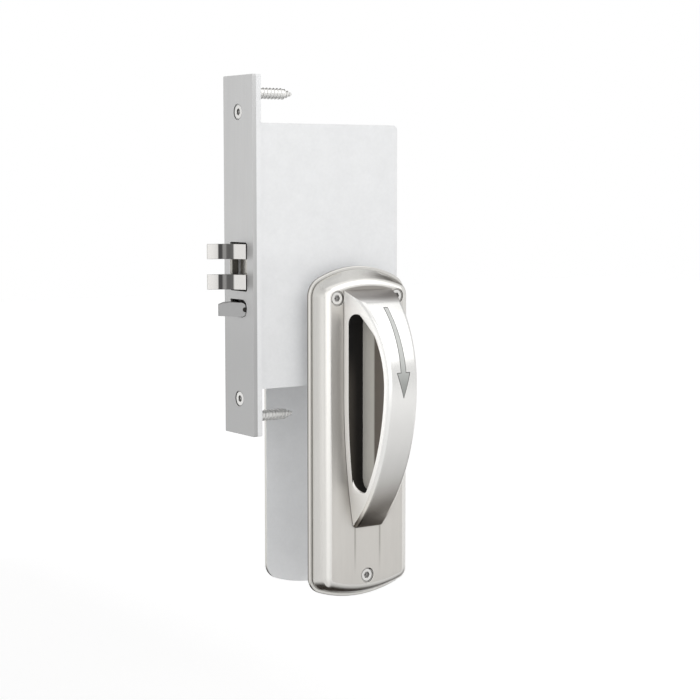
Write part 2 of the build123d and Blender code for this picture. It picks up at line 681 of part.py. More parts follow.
# Trim screws, through posts and the plain outside plate
trim_screws = Part()
posts = Part()
outside = Pos(0, OUTSIDE_T, 0) * extrude(at_y(FAR_Y) * trim_outline, OUTSIDE_T)
outside = chamfer(outside.faces().sort_by(Axis.Y)[-1].edges(), OUTSIDE_EDGE)
for x, z in TRIM_SCREWS:
    hole_r = TRIM_SCREW_R + SEAT_GAP
    head_y = FACE_Y + TRIM_HEAD_SINK
    neck_y = head_y + TRIM_HEAD_H
    esc -= rod_y(hole_r, FACE_Y, ESC_BACK_Y, x, z)
    esc -= rod_y(TRIM_HEAD_R + TRIM_HEAD_GAP, FACE_Y, head_y, x, z)
    esc -= cone_y(TRIM_HEAD_R + SEAT_GAP, hole_r, head_y, neck_y, x, z)
    screw = rod_y(TRIM_SCREW_R, head_y, head_y + TRIM_SCREW_L, x, z)
    screw += cone_y(TRIM_HEAD_R, TRIM_SCREW_R, head_y, neck_y, x, z)
    socket = Pos(x, head_y, z) * Rot(-90, 0, 0) * extrude(RegularPolygon(SOCKET_R, 6), SOCKET_DEPTH)
    trim_screws += screw - socket
    post_tip = ESC_BACK_Y + SEAT_GAP
    post = rod_y(POST_R, post_tip, FAR_Y + POST_SINK, x, z)
    posts += post - rod_y(hole_r, post_tip, post_tip + POST_BORE_L, x, z)
    outside -= rod_y(POST_R + SEAT_GAP, FAR_Y, FAR_Y + POST_SINK, x, z)
save(esc, "escutcheon")
save(trim_screws, "trim_screws")
save(posts, "through_posts")
save(outside, "outside_plate")

# Arch handle: side profile and drafted plan, crossed
foot_z = HANDLE_TOP_Z - HANDLE_L
crown = (-HANDLE_REACH, HANDLE_TOP_Z - HANDLE_CROWN)
ledge = (-HANDLE_LEDGE, HANDLE_TOP_Z - HANDLE_LEDGE_DROP)
lip = (-HANDLE_LIP, foot_z)
profile = TangentArc(crown, ledge, tangent=(0, 1))
profile += TangentArc(crown, lip, tangent=(0, -1))
profile += Polyline(ledge, (0, HANDLE_TOP_Z), (0, foot_z), lip)
side = make_face(profile)
side_plane = Plane((SPINDLE_X, HANDLE_Y, 0), x_dir=(0, 1, 0), z_dir=(1, 0, 0))
slab = extrude(side_plane * side, HANDLE_TOP_W, both=True)

bend_z = HANDLE_TOP_Z - HANDLE_STRAIGHT
right = Line((HANDLE_TOP_W / 2, HANDLE_TOP_Z), (HANDLE_TOP_W / 2, bend_z))
right += TangentArc((HANDLE_TOP_W / 2, bend_z), (HANDLE_BOTTOM_W / 2, foot_z), tangent=(0, -1))
plan = right + mirror(right, about=Plane.YZ)
plan += Line((-HANDLE_TOP_W / 2, HANDLE_TOP_Z), (HANDLE_TOP_W / 2, HANDLE_TOP_Z))
plan += Line((-HANDLE_BOTTOM_W / 2, foot_z), (HANDLE_BOTTOM_W / 2, foot_z))
plan_face = make_face(plan)
plan_face = fillet(plan_face.vertices().group_by(Axis.Y)[0], HANDLE_FOOT_R)
plan_block = extrude(at_y(HANDLE_Y) * plan_face, HANDLE_REACH + STRAP_T)
flanks = [f for f in plan_block.faces() if abs(f.center().X - SPINDLE_X) > HANDLE_BOTTOM_W / 4]
handle = slab & draft(flanks, at_y(HANDLE_Y), HANDLE_DRAFT)
arches = handle.faces().filter_by(GeomType.CYLINDER)
long_edges = [e for e in arches.edges() if abs(e.center().X - SPINDLE_X) > HANDLE_BOTTOM_W / 4]
handle = fillet(long_edges, HANDLE_EDGE_R)

recess_z = (HANDLE_TOP_Z - RECESS_TOP + foot_z + RECESS_BOTTOM) / 2
recess_l = HANDLE_L - RECESS_TOP - RECESS_BOTTOM
recess = offset(side, amount=-STRAP_T)
recess += Pos(-RIM_T - STRAP_T / 2, recess_z) * Rectangle(STRAP_T, recess_l)
recess &= Pos(-HANDLE_REACH / 2, recess_z) * Rectangle(HANDLE_REACH * 2, recess_l)
recess = fillet(recess.vertices().group_by(Axis.Y)[-1], RECESS_TOP_R)
recess = fillet(recess.vertices().group_by(Axis.Y)[0], RECESS_BOTTOM_R)
for sign in (-1, 1):
    start = side_plane.offset(sign * WEB_T / 2)
    handle -= extrude(start * recess, sign * HANDLE_TOP_W)

screw_hole_r = HANDLE_SCREW_R + SEAT_GAP
handle_screws = Part()
for z in BOSS_Z:
    head_y = SLIDE_BACK_Y - HANDLE_SCREW_HEAD_H
    tip_y = head_y - HANDLE_SCREW_L
    handle += rod_y(BOSS_R, HANDLE_Y, SLIDE_FRONT_Y, SPINDLE_X, z)
    handle -= rod_y(screw_hole_r, tip_y - HANDLE_SCREW_SPARE, SLIDE_FRONT_Y, SPINDLE_X, z)
    screw = rod_y(HANDLE_SCREW_R, tip_y, head_y, SPINDLE_X, z)
    handle_screws += screw + rod_y(HANDLE_SCREW_HEAD_R, head_y, SLIDE_BACK_Y, SPINDLE_X, z)
save(handle, "arch_handle")
save(handle_screws, "handle_screws")

# Slide behind the escutcheon face, with the rack on the side that turns the pinion to draw the latch
tooth_pitch = pi * GEAR_MODULE
rack_x = SPINDLE_X + PITCH_R
rack_root_x = rack_x + DEDENDUM * GEAR_MODULE
rack_top_z = SPINDLE_Z + (RACK_ABOVE + 0.5) * tooth_pitch
slide = block(
    SPINDLE_X - SLIDE_W / 2,
    rack_root_x + RACK_BACK,
    SLIDE_FRONT_Y,
    SLIDE_BACK_Y,
    SLIDE_BOTTOM_Z,
    SLIDE_TOP_Z,
)
slide += block(
    rack_root_x,
    rack_root_x + RACK_BACK,
    SLIDE_FRONT_Y,
    SLIDE_BACK_Y,
    SLIDE_TOP_Z,
    rack_top_z,
)
slope = tan(radians(PRESSURE_ANGLE))
half_tooth = pi * GEAR_MODULE / 4 - BACKLASH / 4
tip_half = half_tooth - slope * GEAR_MODULE
root_half = half_tooth + slope * DEDENDUM * GEAR_MODULE
tooth = make_face(Polyline(
    (rack_root_x, -root_half),
    (rack_x - GEAR_MODULE, -tip_half),
    (rack_x - GEAR_MODULE, tip_half),
    (rack_root_x, root_half),
    close=True,
))
tooth_bar = Pos(0, SLIDE_BACK_Y, 0) * extrude(Plane.XZ * tooth, SLIDE_T)
teeth_below = floor((SPINDLE_Z - SLIDE_TOP_Z) / tooth_pitch - 0.5)
for k in range(-teeth_below, RACK_ABOVE + 1):
    slide += Pos(0, 0, SPINDLE_Z + k * tooth_pitch) * tooth_bar
for z in BOSS_Z:
    slide -= rod_y(screw_hole_r, SLIDE_FRONT_Y, SLIDE_BACK_Y, SPINDLE_X, z)
    slide -= rod_y(
        HANDLE_SCREW_HEAD_R + SEAT_GAP,
        SLIDE_BACK_Y - HANDLE_SCREW_HEAD_H,
        SLIDE_BACK_Y,
        SPINDLE_X,
        z,
    )
save(slide, "rack_slide")

# Return springs between the slide and the floor of the hollow
spring_l = SLIDE_BOTTOM_Z - GAP - CAVITY_BOTTOM_Z
return_coil = coil(RETURN_SPRING_R, RETURN_SPRING_WIRE, spring_l, RETURN_SPRING_TURNS)
spring_y = (SLIDE_FRONT_Y + SLIDE_BACK_Y) / 2
springs = Part()
for x in (SPINDLE_X - RETURN_SPRING_X, SPINDLE_X + RETURN_SPRING_X):
    springs += Pos(x, spring_y, CAVITY_BOTTOM_Z) * return_coil
save(springs, "return_springs")
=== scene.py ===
# %% [markdown]
# # A mortise lockset with an arched pull-down handle
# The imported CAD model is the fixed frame: every metal piece is already in its place. This lesson gives
# the pieces their soft edges, satin finishes, screw details and etched arrow, then lights the part the
# way small metal hardware is lit in a studio.

import json
from math import asin, atan2, cos, hypot, pi, radians, sin, sqrt

import bmesh
import bpy
from mathutils import Matrix, Vector


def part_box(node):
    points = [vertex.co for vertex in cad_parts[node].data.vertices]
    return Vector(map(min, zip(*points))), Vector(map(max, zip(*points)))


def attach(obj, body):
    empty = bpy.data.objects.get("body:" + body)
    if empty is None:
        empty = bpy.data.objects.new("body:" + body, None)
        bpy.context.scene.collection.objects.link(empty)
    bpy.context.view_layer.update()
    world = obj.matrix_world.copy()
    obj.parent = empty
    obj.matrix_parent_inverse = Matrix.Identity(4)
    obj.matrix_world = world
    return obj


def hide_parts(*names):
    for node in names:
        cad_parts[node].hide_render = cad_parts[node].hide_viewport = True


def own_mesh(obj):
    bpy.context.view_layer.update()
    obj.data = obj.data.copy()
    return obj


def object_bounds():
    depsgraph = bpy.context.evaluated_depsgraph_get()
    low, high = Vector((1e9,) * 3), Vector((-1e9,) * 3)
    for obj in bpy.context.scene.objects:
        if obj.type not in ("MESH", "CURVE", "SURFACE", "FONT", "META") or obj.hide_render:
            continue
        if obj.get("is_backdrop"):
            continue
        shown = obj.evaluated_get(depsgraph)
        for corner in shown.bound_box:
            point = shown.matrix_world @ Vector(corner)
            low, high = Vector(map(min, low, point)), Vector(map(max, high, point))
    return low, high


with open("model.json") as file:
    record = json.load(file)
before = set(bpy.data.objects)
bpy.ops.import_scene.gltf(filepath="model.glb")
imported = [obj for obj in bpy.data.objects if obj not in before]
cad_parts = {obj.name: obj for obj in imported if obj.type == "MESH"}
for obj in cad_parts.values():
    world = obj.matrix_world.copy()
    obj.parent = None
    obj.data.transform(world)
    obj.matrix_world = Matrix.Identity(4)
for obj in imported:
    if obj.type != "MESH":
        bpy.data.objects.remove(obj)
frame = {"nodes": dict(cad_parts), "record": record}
nodes = frame["nodes"]
cad_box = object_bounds()
MM = 0.001
body_of = {n: body for body, names in frame["record"]["behaviour"]["bodies"].items() for n in names}

# %% [markdown]
# ## Shared finishes
# Satin stainless steel is never one flat grey. It carries fine parallel scratches from the abrasive belt,
# and broad cloudy patches where hands and cloths have passed. Both effects are wanted on several metals,
# so each is a small shader group with named inputs, placed in every material with its own values.

# %% Belt grain group
COARSE_SHARE = 0.23


def new_group(name, inputs, outputs):
    group = bpy.data.node_groups.new(name, "ShaderNodeTree")
    for label, kind, value in inputs:
        socket = group.interface.new_socket(label, in_out="INPUT", socket_type=kind)
        if value is not None:
            socket.default_value = value
    for label, kind in outputs:
        group.interface.new_socket(label, in_out="OUTPUT", socket_type=kind)
    return group, group.nodes.new("NodeGroupInput"), group.nodes.new("NodeGroupOutput")


def belt_grain_group():
    group, source, sink = new_group(
        "belt_grain",
        [
            ("Position", "NodeSocketVector", None),
            ("Stretch", "NodeSocketVector", (1.0, 1.0, 1.0)),
            ("Scale", "NodeSocketFloat", 900.0),
        ],
        [("Shade", "NodeSocketFloat"), ("Height", "NodeSocketFloat")],
    )
    n, link = group.nodes, group.links.new
    stretched = n.new("ShaderNodeVectorMath")
    stretched.operation = "MULTIPLY"
    fine = n.new("ShaderNodeTexNoise")
    fine.inputs["Detail"].default_value = 3.0
    fine.inputs["Roughness"].default_value = 0.6
    coarse = n.new("ShaderNodeTexNoise")
    coarse.inputs["Detail"].default_value = 2.0
    wide = n.new("ShaderNodeMath")
    wide.operation = "MULTIPLY"
    wide.inputs[1].default_value = COARSE_SHARE
    mean = n.new("ShaderNodeMix")
    mean.inputs["Factor"].default_value = 0.5
    link(source.outputs["Position"], stretched.inputs[0])
    link(source.outputs["Stretch"], stretched.inputs[1])
    link(source.outputs["Scale"], wide.inputs[0])
    for noise, scale in ((fine, source.outputs["Scale"]), (coarse, wide.outputs[0])):
        link(stretched.outputs[0], noise.inputs["Vector"])
        link(scale, noise.inputs["Scale"])
    link(fine.outputs["Fac"], mean.inputs[2])
    link(coarse.outputs["Fac"], mean.inputs[3])
    link(mean.outputs[0], sink.inputs["Shade"])
    link(fine.outputs["Fac"], sink.inputs["Height"])
    return group


BELT_GRAIN = belt_grain_group()
print("group:", BELT_GRAIN.name)

# %% Handling cloud group
CLOUD_FROM, CLOUD_TO = 0.15, 0.85


def handling_cloud_group():
    group, source, sink = new_group(
        "handling_cloud",
        [("Position", "NodeSocketVector", None), ("Scale", "NodeSocketFloat", 40.0)],
        [("Mask", "NodeSocketFloat")],
    )
    n, link = group.nodes, group.links.new
    noise = n.new("ShaderNodeTexNoise")
    noise.inputs["Detail"].default_value = 2.0
    ramp = n.new("ShaderNodeMapRange")
    ramp.inputs["From Min"].default_value = CLOUD_FROM
    ramp.inputs["From Max"].default_value = CLOUD_TO
    link(source.outputs["Position"], noise.inputs["Vector"])
    link(source.outputs["Scale"], noise.inputs["Scale"])
    link(noise.outputs["Fac"], ramp.inputs["Value"])
    link(ramp.outputs["Result"], sink.inputs["Mask"])
    return group


HANDLING_CLOUD = handling_cloud_group()
print("group:", HANDLING_CLOUD.name)

# %% [markdown]
# ## The metals
# A material multiplies a written colour by the grain's shade, so the colour stays what the metal is. The
# stretch sets the belt's direction: a small number along an axis draws the scratches out along it. The
# clouds lift the roughness a little, which is what a fingerprint does to satin steel.

# %% Metal material
RELIEF_STRENGTH, RELIEF_DEPTH = 0.03, 0.0002


def mix_colour(tree, factor, dark, light):
    mix = tree.nodes.new("ShaderNodeMix")
    mix.data_type = "RGBA"
    tree.links.new(factor, mix.inputs["Factor"])
    for socket, colour in ((mix.inputs[6], dark), (mix.inputs[7], light)):
        if isinstance(colour, tuple):
            socket.default_value = (*colour, 1.0)
        else:
            tree.links.new(colour, socket)
    return mix.outputs[2]


def metal(name, colour, rough, stretch=(1, 1, 1), scale=900.0, contrast=0.08, cloud=0.05, metallic=1.0):
    material = bpy.data.materials.new(name)
    material.use_nodes = True
    tree = material.node_tree
    n, link = tree.nodes, tree.links.new
    shader = n["Principled BSDF"]
    shader.inputs["Metallic"].default_value = metallic
    place = n.new("ShaderNodeTexCoord")
    grain = n.new("ShaderNodeGroup")
    grain.node_tree = BELT_GRAIN
    grain.inputs["Stretch"].default_value = stretch
    grain.inputs["Scale"].default_value = scale
    clouds = n.new("ShaderNodeGroup")
    clouds.node_tree = HANDLING_CLOUD
    link(place.outputs["Object"], grain.inputs["Position"])
    link(place.outputs["Object"], clouds.inputs["Position"])
    dark = tuple(c * (1 - contrast) for c in colour)
    light = tuple(min(1.0, c * (1 + contrast)) for c in colour)
    tone = mix_colour(tree, grain.outputs["Shade"], dark, light)
    link(tone, shader.inputs["Base Color"])
    gloss = n.new("ShaderNodeMapRange")
    gloss.inputs["To Min"].default_value = rough
    gloss.inputs["To Max"].default_value = rough + cloud
    link(clouds.outputs["Mask"], gloss.inputs["Value"])
    link(gloss.outputs["Result"], shader.inputs["Roughness"])
    relief = n.new("ShaderNodeBump")
    relief.inputs["Strength"].default_value = RELIEF_STRENGTH
    relief.inputs["Distance"].default_value = RELIEF_DEPTH
    link(grain.outputs["Height"], relief.inputs["Height"])
    link(relief.outputs["Normal"], shader.inputs["Normal"])
    return material


# %% The set of metals
UPRIGHT, INWARD = (1.0, 1.0, 0.05), (0.06, 1.0, 1.0)
FRONT_STEEL = metal("front_satin_steel", (0.475, 0.475, 0.473), 0.30, UPRIGHT, 1600.0)
TRIM_STEEL = metal("trim_satin_steel", (0.578, 0.567, 0.542), 0.26, UPRIGHT, 1300.0, 0.06)
ESCUTCHEON_STEEL = metal("escutcheon_satin_steel", (0.578, 0.567, 0.542), 0.23, UPRIGHT, 1300.0, 0.06)
FACE_STEEL = metal("face_satin_steel", (0.560, 0.543, 0.515), 0.42, UPRIGHT, 1300.0, 0.06)
HANDLE_STEEL = metal("handle_satin_steel", (0.70, 0.695, 0.68), 0.22, UPRIGHT, 1300.0, 0.05)
FLANK_STEEL = metal("flank_satin_steel", (0.90, 0.885, 0.86), 0.40, UPRIGHT, 1300.0, 0.05, metallic=0.6)
BOLT_STEEL = metal("bolt_ground_steel", (0.58, 0.57, 0.55), 0.22, INWARD, 1500.0)
AUX_STEEL = metal("aux_ground_steel", (0.30, 0.30, 0.30), 0.28, INWARD, 1500.0)
CASE_STEEL = metal("case_plated_steel", (0.78, 0.785, 0.79), 0.50, scale=500.0, metallic=0.3)
SPRING_STEEL = metal("spring_wire", (0.34, 0.34, 0.35), 0.28)
BUSH_BRASS = metal("bush_brass", (0.62, 0.47, 0.20), 0.30)
SCREW_STEEL = metal("screw_turned_steel", (0.66, 0.655, 0.64), 0.26, scale=1800.0)
# The socket and groove materials carry painted shade.
SOCKET_SHADE = metal("socket_painted_shade", (0.30, 0.295, 0.29), 0.45, scale=1800.0)
PIN_GREY = metal("pin_grey_steel", (0.34, 0.335, 0.33), 0.40, scale=1800.0)
GROOVE_SHADE = metal("groove_painted_shade", (0.030, 0.028, 0.026), 0.45, scale=1800.0)

finish_of = {name: CASE_STEEL for name in nodes}
finish_of["armor_front"] = FRONT_STEEL
finish_of["arch_handle"] = HANDLE_STEEL
finish_of["latch_bolt"] = BOLT_STEEL
finish_of["aux_latch"] = AUX_STEEL
finish_of["pinion_bush"] = BUSH_BRASS
finish_of["escutcheon"] = ESCUTCHEON_STEEL
for name in ("back_plate", "outside_plate"):
    finish_of[name] = TRIM_STEEL
for name in ("armor_screws", "trim_screws", "mounting_screws", "cover_screws", "handle_screws"):
    finish_of[name] = SCREW_STEEL
for name in ("latch_spring", "aux_spring", "return_springs", "spindle_clip"):
    finish_of[name] = SPRING_STEEL
for name, obj in nodes.items():
    obj.data.materials.clear()
    obj.data.materials.append(finish_of[name])
print("materials:", len(bpy.data.materials))

# %% [markdown]
# ## Soft edges
# No metal edge is perfectly sharp: tumbling and polishing leave a fine radius that catches the light. A
# copy of each visible node is welded, its flat triangles are joined, and a Bevel modifier rounds every
# edge that turns more than a set angle. Hardened normals keep the flats flat.

# %% Handle measures
handle_low, handle_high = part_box("arch_handle")
HANDLE_X = (handle_low.x + handle_high.x) / 2
FACE_Y, HANDLE_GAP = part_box("escutcheon")[0].y, 0.3 * MM
HANDLE_BACK_Y = FACE_Y - HANDLE_GAP
RIM, WEB = 3.4 * MM, 11.6 * MM
FLOOR_Y = HANDLE_BACK_Y - RIM
RECESS_TOP_Z, RECESS_LOW_Z = handle_high.z - 13.0 * MM, handle_low.z + 22.5 * MM
CROWN_Z = handle_high.z - 52.5 * MM
UPPER_R, LOWER_R, STRAP_T = 60.97 * MM, 123.50 * MM, 4.2 * MM
SKIN, MOUTH_BAND = 0.25 * MM, 2.0 * MM


def in_recess(place):
    radius = UPPER_R if place.z > CROWN_Z else LOWER_R
    under_strap = hypot(place.y - handle_low.y - radius, place.z - CROWN_Z) < radius - STRAP_T + SKIN
    inside_z = RECESS_LOW_Z - SKIN < place.z < RECESS_TOP_Z + SKIN
    beside_web = abs(place.x - HANDLE_X) > WEB / 2 - SKIN
    return under_strap and inside_z and beside_web and place.y < FLOOR_Y + SKIN


def at_mouth(place):
    return in_recess(place) and abs(place.x - HANDLE_X) > WEB / 2 + MOUTH_BAND


print("handle at x", round(HANDLE_X / MM, 2), "recess floor at y", round(FLOOR_Y / MM, 2))

# %% Dress a node
WELD = 2e-6
FLAT_ANGLE = radians(0.3)
EDGE_ANGLE = radians(32)
EDGE_STEPS, WIDE_STEPS = 2, 3


def plain_mesh(piece):
    """The piece's evaluated shape as an ordinary mesh, with its modifiers gone."""
    depsgraph = bpy.context.evaluated_depsgraph_get()
    mesh = bpy.data.meshes.new_from_object(piece.evaluated_get(depsgraph))
    piece.modifiers.clear()
    piece.data = mesh
    mesh.name = piece.name


def new_piece(name, mesh):
    piece = bpy.data.objects.new(name, mesh)
    bpy.context.scene.collection.objects.link(piece)
    return piece


def welded_copy(node):
    source = nodes[node].data
    mesh = bpy.data.meshes.new(node + "_dressed")
    mesh.from_pydata([v.co for v in source.vertices], [], [p.vertices for p in source.polygons])
    work = bmesh.new()
    work.from_mesh(mesh)
    bmesh.ops.remove_doubles(work, verts=work.verts, dist=WELD)
    bmesh.ops.dissolve_limit(work, angle_limit=FLAT_ANGLE, verts=work.verts, edges=work.edges)
    work.to_mesh(mesh)
    work.free()
    return mesh


def weigh_edges(mesh, narrow, wide, at_wide):
    """Mark how much of the wide rounding each sharp edge takes."""
    work = bmesh.new()
    work.from_mesh(mesh)
    weight = work.edges.layers.float.new("bevel_weight_edge")
    for edge in work.edges:
        if edge.is_manifold and edge.calc_face_angle() > EDGE_ANGLE:
            middle = (edge.verts[0].co + edge.verts[1].co) / 2
            edge[weight] = 1.0 if at_wide(middle) else narrow / wide
    work.to_mesh(mesh)
    work.free()


def dress(node, width, wide=None, at_wide=None):
    mesh = welded_copy(node)
    mesh.materials.append(finish_of[node])
    mesh.shade_smooth()
    mesh.set_sharp_from_angle(angle=EDGE_ANGLE)
    weigh_edges(mesh, width, wide or width, at_wide or (lambda place: True))
    piece = new_piece(node + "_dressed", mesh)
    bevel = piece.modifiers.new("soft_edge", "BEVEL")
    bevel.width = wide or width
    bevel.segments = EDGE_STEPS if wide is None else WIDE_STEPS
    bevel.limit_method = "WEIGHT"
    bevel.harden_normals = True
    plain_mesh(piece)
    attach(piece, body_of[node])
    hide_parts(node)
    return piece


EDGE_WIDTH = {
    "armor_front": 0.25,
    "inner_front": 0.25,
    "armor_screws": 0.15,
    "latch_bolt": 0.25,
    "aux_latch": 0.35,
    "lock_case": 0.20,
    "case_cover": 0.25,
    "cover_screws": 0.15,
    "back_plate": 0.45,
    "escutcheon": 0.20,
    "trim_screws": 0.20,
    "outside_plate": 0.30,
}
HANDLE_EDGE, MOUTH_R = 0.35 * MM, 1.0 * MM
dressed = {node: dress(node, width * MM) for node, width in EDGE_WIDTH.items()}
dressed["arch_handle"] = dress("arch_handle", HANDLE_EDGE, MOUTH_R, at_mouth)
print("dressed:", {name: len(piece.data.polygons) for name, piece in dressed.items()})

# %% [markdown]
# ## Coil springs
# Each coil spring sits between a fixed seat and the part that it pushes back. Its wire gets a soft edge like
# the other pieces, and each dressed coil takes a mesh of its own. The seat is the end that the moving part
# travels towards.

# %% Coil springs
SPRING_JOINT = {"return_springs": "handle_slide", "latch_spring": "latch_slide", "aux_spring": "aux_slide"}
WIRE_EDGE = 0.2 * MM
for node, driver in SPRING_JOINT.items():
    dressed[node] = dress(node, WIRE_EDGE)
    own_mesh(dressed[node])

# %% [markdown]
# ## Finishes that change across one piece
# The handle's finger recess has a dull cast finish, and painted shade stands in for the dark inside it: the
# floor is painted near black, and the walls are a dull grey with painted shade that darkens towards the
# strap.
# Each is a second material, given to the faces that a short test of place and direction picks out. Where a
# finish changes slowly, a mask along one axis blends two colours instead, so the change doesn't follow the
# edges of the faces. Painted shade darkens the handle that way towards its foot.

# %% Paint faces
LOOKS_ALONG, FLANK_LOOKS, EDGE_ON = 0.9, 0.93, 0.3


def paint_faces(piece, material, chosen):
    piece.data.materials.append(material)
    index = len(piece.data.materials) - 1
    count = 0
    for face in piece.data.polygons:
        if chosen(face.center, face.normal):
            face.material_index = index
            count += 1
    print(piece.name, material.name, count)


def step_along(tree, axis, start, end, centre=None):
    """A mask that goes from 0 to 1 between two places on an axis, or two distances from a centre."""
    n, link = tree.nodes, tree.links.new
    place = n.new("ShaderNodeTexCoord")
    split = n.new("ShaderNodeSeparateXYZ")
    link(place.outputs["Object"], split.inputs["Vector"])
    along = split.outputs[axis]
    if centre is not None:
        for operation, value in (("SUBTRACT", centre), ("ABSOLUTE", 0.0)):
            part = n.new("ShaderNodeMath")
            part.operation = operation
            part.inputs[1].default_value = value
            link(along, part.inputs[0])
            along = part.outputs[0]
    step = n.new("ShaderNodeMapRange")
    step.interpolation_type = "SMOOTHSTEP"
    step.inputs["From Min"].default_value = start
    step.inputs["From Max"].default_value = end
    link(along, step.inputs["Value"])
    return step.outputs["Result"]


def blend_to(material, mask, far_colour):
    tree = material.node_tree
    base = tree.nodes["Principled BSDF"].inputs["Base Color"]
    tree.links.new(mix_colour(tree, mask, base.links[0].from_socket, far_colour), base)


def fade_along(material, axis, start, end, far_colour, centre=None):
    """Blend the base colour to far_colour between two places on one axis of the piece."""
    blend_to(material, step_along(material.node_tree, axis, start, end, centre), far_colour)


# %% Finger recess
# Painted shade: the recess floor is painted near black, a little lighter towards the mouth and darkest
# towards its top.
RECESS_FLOOR_SHADE = metal("recess_floor_painted_shade", (0.006, 0.005, 0.004), 0.6, metallic=0.0)
FLOOR_SHEEN = 0.25
RECESS_FLOOR_SHADE.node_tree.nodes["Principled BSDF"].inputs["Specular IOR Level"].default_value = FLOOR_SHEEN
FLOOR_LIT, FLOOR_SHADED = (0.055, 0.048, 0.040), (0.004, 0.0035, 0.003)
LIT_FROM, LIT_TO = WEB / 2 + 3.0 * MM, WEB / 2 + 10.0 * MM
SHADED_FROM_Z, SHADED_TO_Z = RECESS_TOP_Z - 45.0 * MM, RECESS_TOP_Z - 18.0 * MM
fade_along(RECESS_FLOOR_SHADE, "X", LIT_FROM, LIT_TO, FLOOR_LIT, HANDLE_X)
fade_along(RECESS_FLOOR_SHADE, "Z", SHADED_FROM_Z, SHADED_TO_Z, FLOOR_SHADED)
# Painted shade: the dull cast web wall darkens towards the strap's underside.
RECESS_WALL = metal("recess_wall_cast_shaded", (0.60, 0.58, 0.53), 0.55, metallic=0.15)
WALL_SHADE_FROM_Y, WALL_SHADE_TO_Y = HANDLE_BACK_Y - 13.6 * MM, HANDLE_BACK_Y - 15.6 * MM
fade_along(RECESS_WALL, "Y", WALL_SHADE_FROM_Y, WALL_SHADE_TO_Y, (0.14, 0.120, 0.100))


def on_web(centre, normal):
    at_web = abs(centre.x - HANDLE_X) < WEB / 2 + SKIN
    return in_recess(centre) and at_web and abs(normal.x) > LOOKS_ALONG


def round_the_floor(centre, normal):
    return in_recess(centre) and abs(normal.x) < EDGE_ON


paint_faces(dressed["arch_handle"], FLANK_STEEL, lambda centre, normal: abs(normal.x) > FLANK_LOOKS)
paint_faces(dressed["arch_handle"], RECESS_FLOOR_SHADE, round_the_floor)
paint_faces(dressed["arch_handle"], RECESS_WALL, on_web)

# %% Darker foot
# Painted shade: the handle and its flank darken towards the foot, deepest in its last few millimetres.
FOOT_Z = handle_low.z
FOOT_SHADE_H, DEEP_SHADE_H, DEEP_SHADE_FULL_H = 42.0 * MM, 13.0 * MM, 3.0 * MM
FLANK_SHADE_H, FLANK_FULL_H = 50.0 * MM, 8.0 * MM
fade_along(HANDLE_STEEL, "Z", FOOT_Z + FOOT_SHADE_H, FOOT_Z, (0.66, 0.625, 0.57))
fade_along(HANDLE_STEEL, "Z", FOOT_Z + DEEP_SHADE_H, FOOT_Z + DEEP_SHADE_FULL_H, (0.13, 0.114, 0.098))
fade_along(FLANK_STEEL, "Z", FOOT_Z + FLANK_SHADE_H, FOOT_Z + FLANK_FULL_H, (0.79, 0.772, 0.74))
print("foot at z", round(FOOT_Z / MM, 1))

# %% [markdown]
# ## Rounded recess ends
# The mouth of the finger recess closes in an arch under the strap and in a wide scoop above the foot. Each
# is a corner filled by a small prism with a hollow side. In the side view a fillet's centre lies one radius
# from both lines that it joins, so the outline is worked out there, and then drawn out from the web to the
# flank on both sides. A quarter round along the mouth gives it the same soft lip as the rest.

# %% Side view of the corners
ARCH_FROM_FLOOR, ARCH_R, ARCH_SLOPE, BLEND_R = 5.4 * MM, 6.0 * MM, radians(44), 25.0 * MM
SCOOP_Y, SCOOP_Z = 8.5 * MM, 6.5 * MM
LAP, PROUD = 1.3 * MM, 0.02 * MM
ARC_STEPS = 10


def arc_rows(centre, radii, start, end):
    """An arc in the side view: points (y, z) and the way out from its centre at each."""
    rows = []
    for i in range(ARC_STEPS + 1):
        angle = start + (end - start) * i / ARC_STEPS
        place = Vector((centre[0] + radii[0] * cos(angle), centre[1] + radii[1] * sin(angle)))
        rows.append((place, Vector((cos(angle) / radii[0], sin(angle) / radii[1])).normalized()))
    return rows


def arch_corner():
    """A tight arc at the top, a straight slope, and a wide arc that runs out along the strap's inner arc."""
    middle, inner = Vector((handle_low.y + UPPER_R, CROWN_Z)), UPPER_R - STRAP_T
    turn = pi / 2 + ARCH_SLOPE
    out, along = Vector((cos(turn), sin(turn))), Vector((-sin(turn), cos(turn)))
    centre = Vector((FLOOR_Y - ARCH_FROM_FLOOR, RECESS_TOP_Z - ARCH_R))
    bend = centre + out * (ARCH_R - BLEND_R)
    reach = bend - middle
    back = reach.dot(along)
    blend = bend + along * (sqrt(back**2 - reach.length_squared + (inner - BLEND_R) ** 2) - back)
    low = atan2(blend.y - middle.y, blend.x - middle.x)
    high = pi - asin((RECESS_TOP_Z + LAP - CROWN_Z) / (inner + LAP))
    rows = arc_rows(centre, (ARCH_R, ARCH_R), pi / 2, turn)
    rows += arc_rows(blend, (BLEND_R, BLEND_R), turn, low)
    return rows, [place for place, _ in arc_rows(middle, (inner + LAP, inner + LAP), low, high)[1:]]


def scoop_corner():
    centre = (FLOOR_Y - SCOOP_Y, RECESS_LOW_Z + SCOOP_Z)
    corner = Vector((FLOOR_Y + LAP, RECESS_LOW_Z - LAP))
    return arc_rows(centre, (SCOOP_Y, SCOOP_Z), -pi / 2, 0.0), [corner]


# %% Corner prisms
LIP = [(MOUTH_R * (1 - sin(a)), MOUTH_R * (1 - cos(a))) for a in (0.0, pi / 6, pi / 3, pi / 2)]


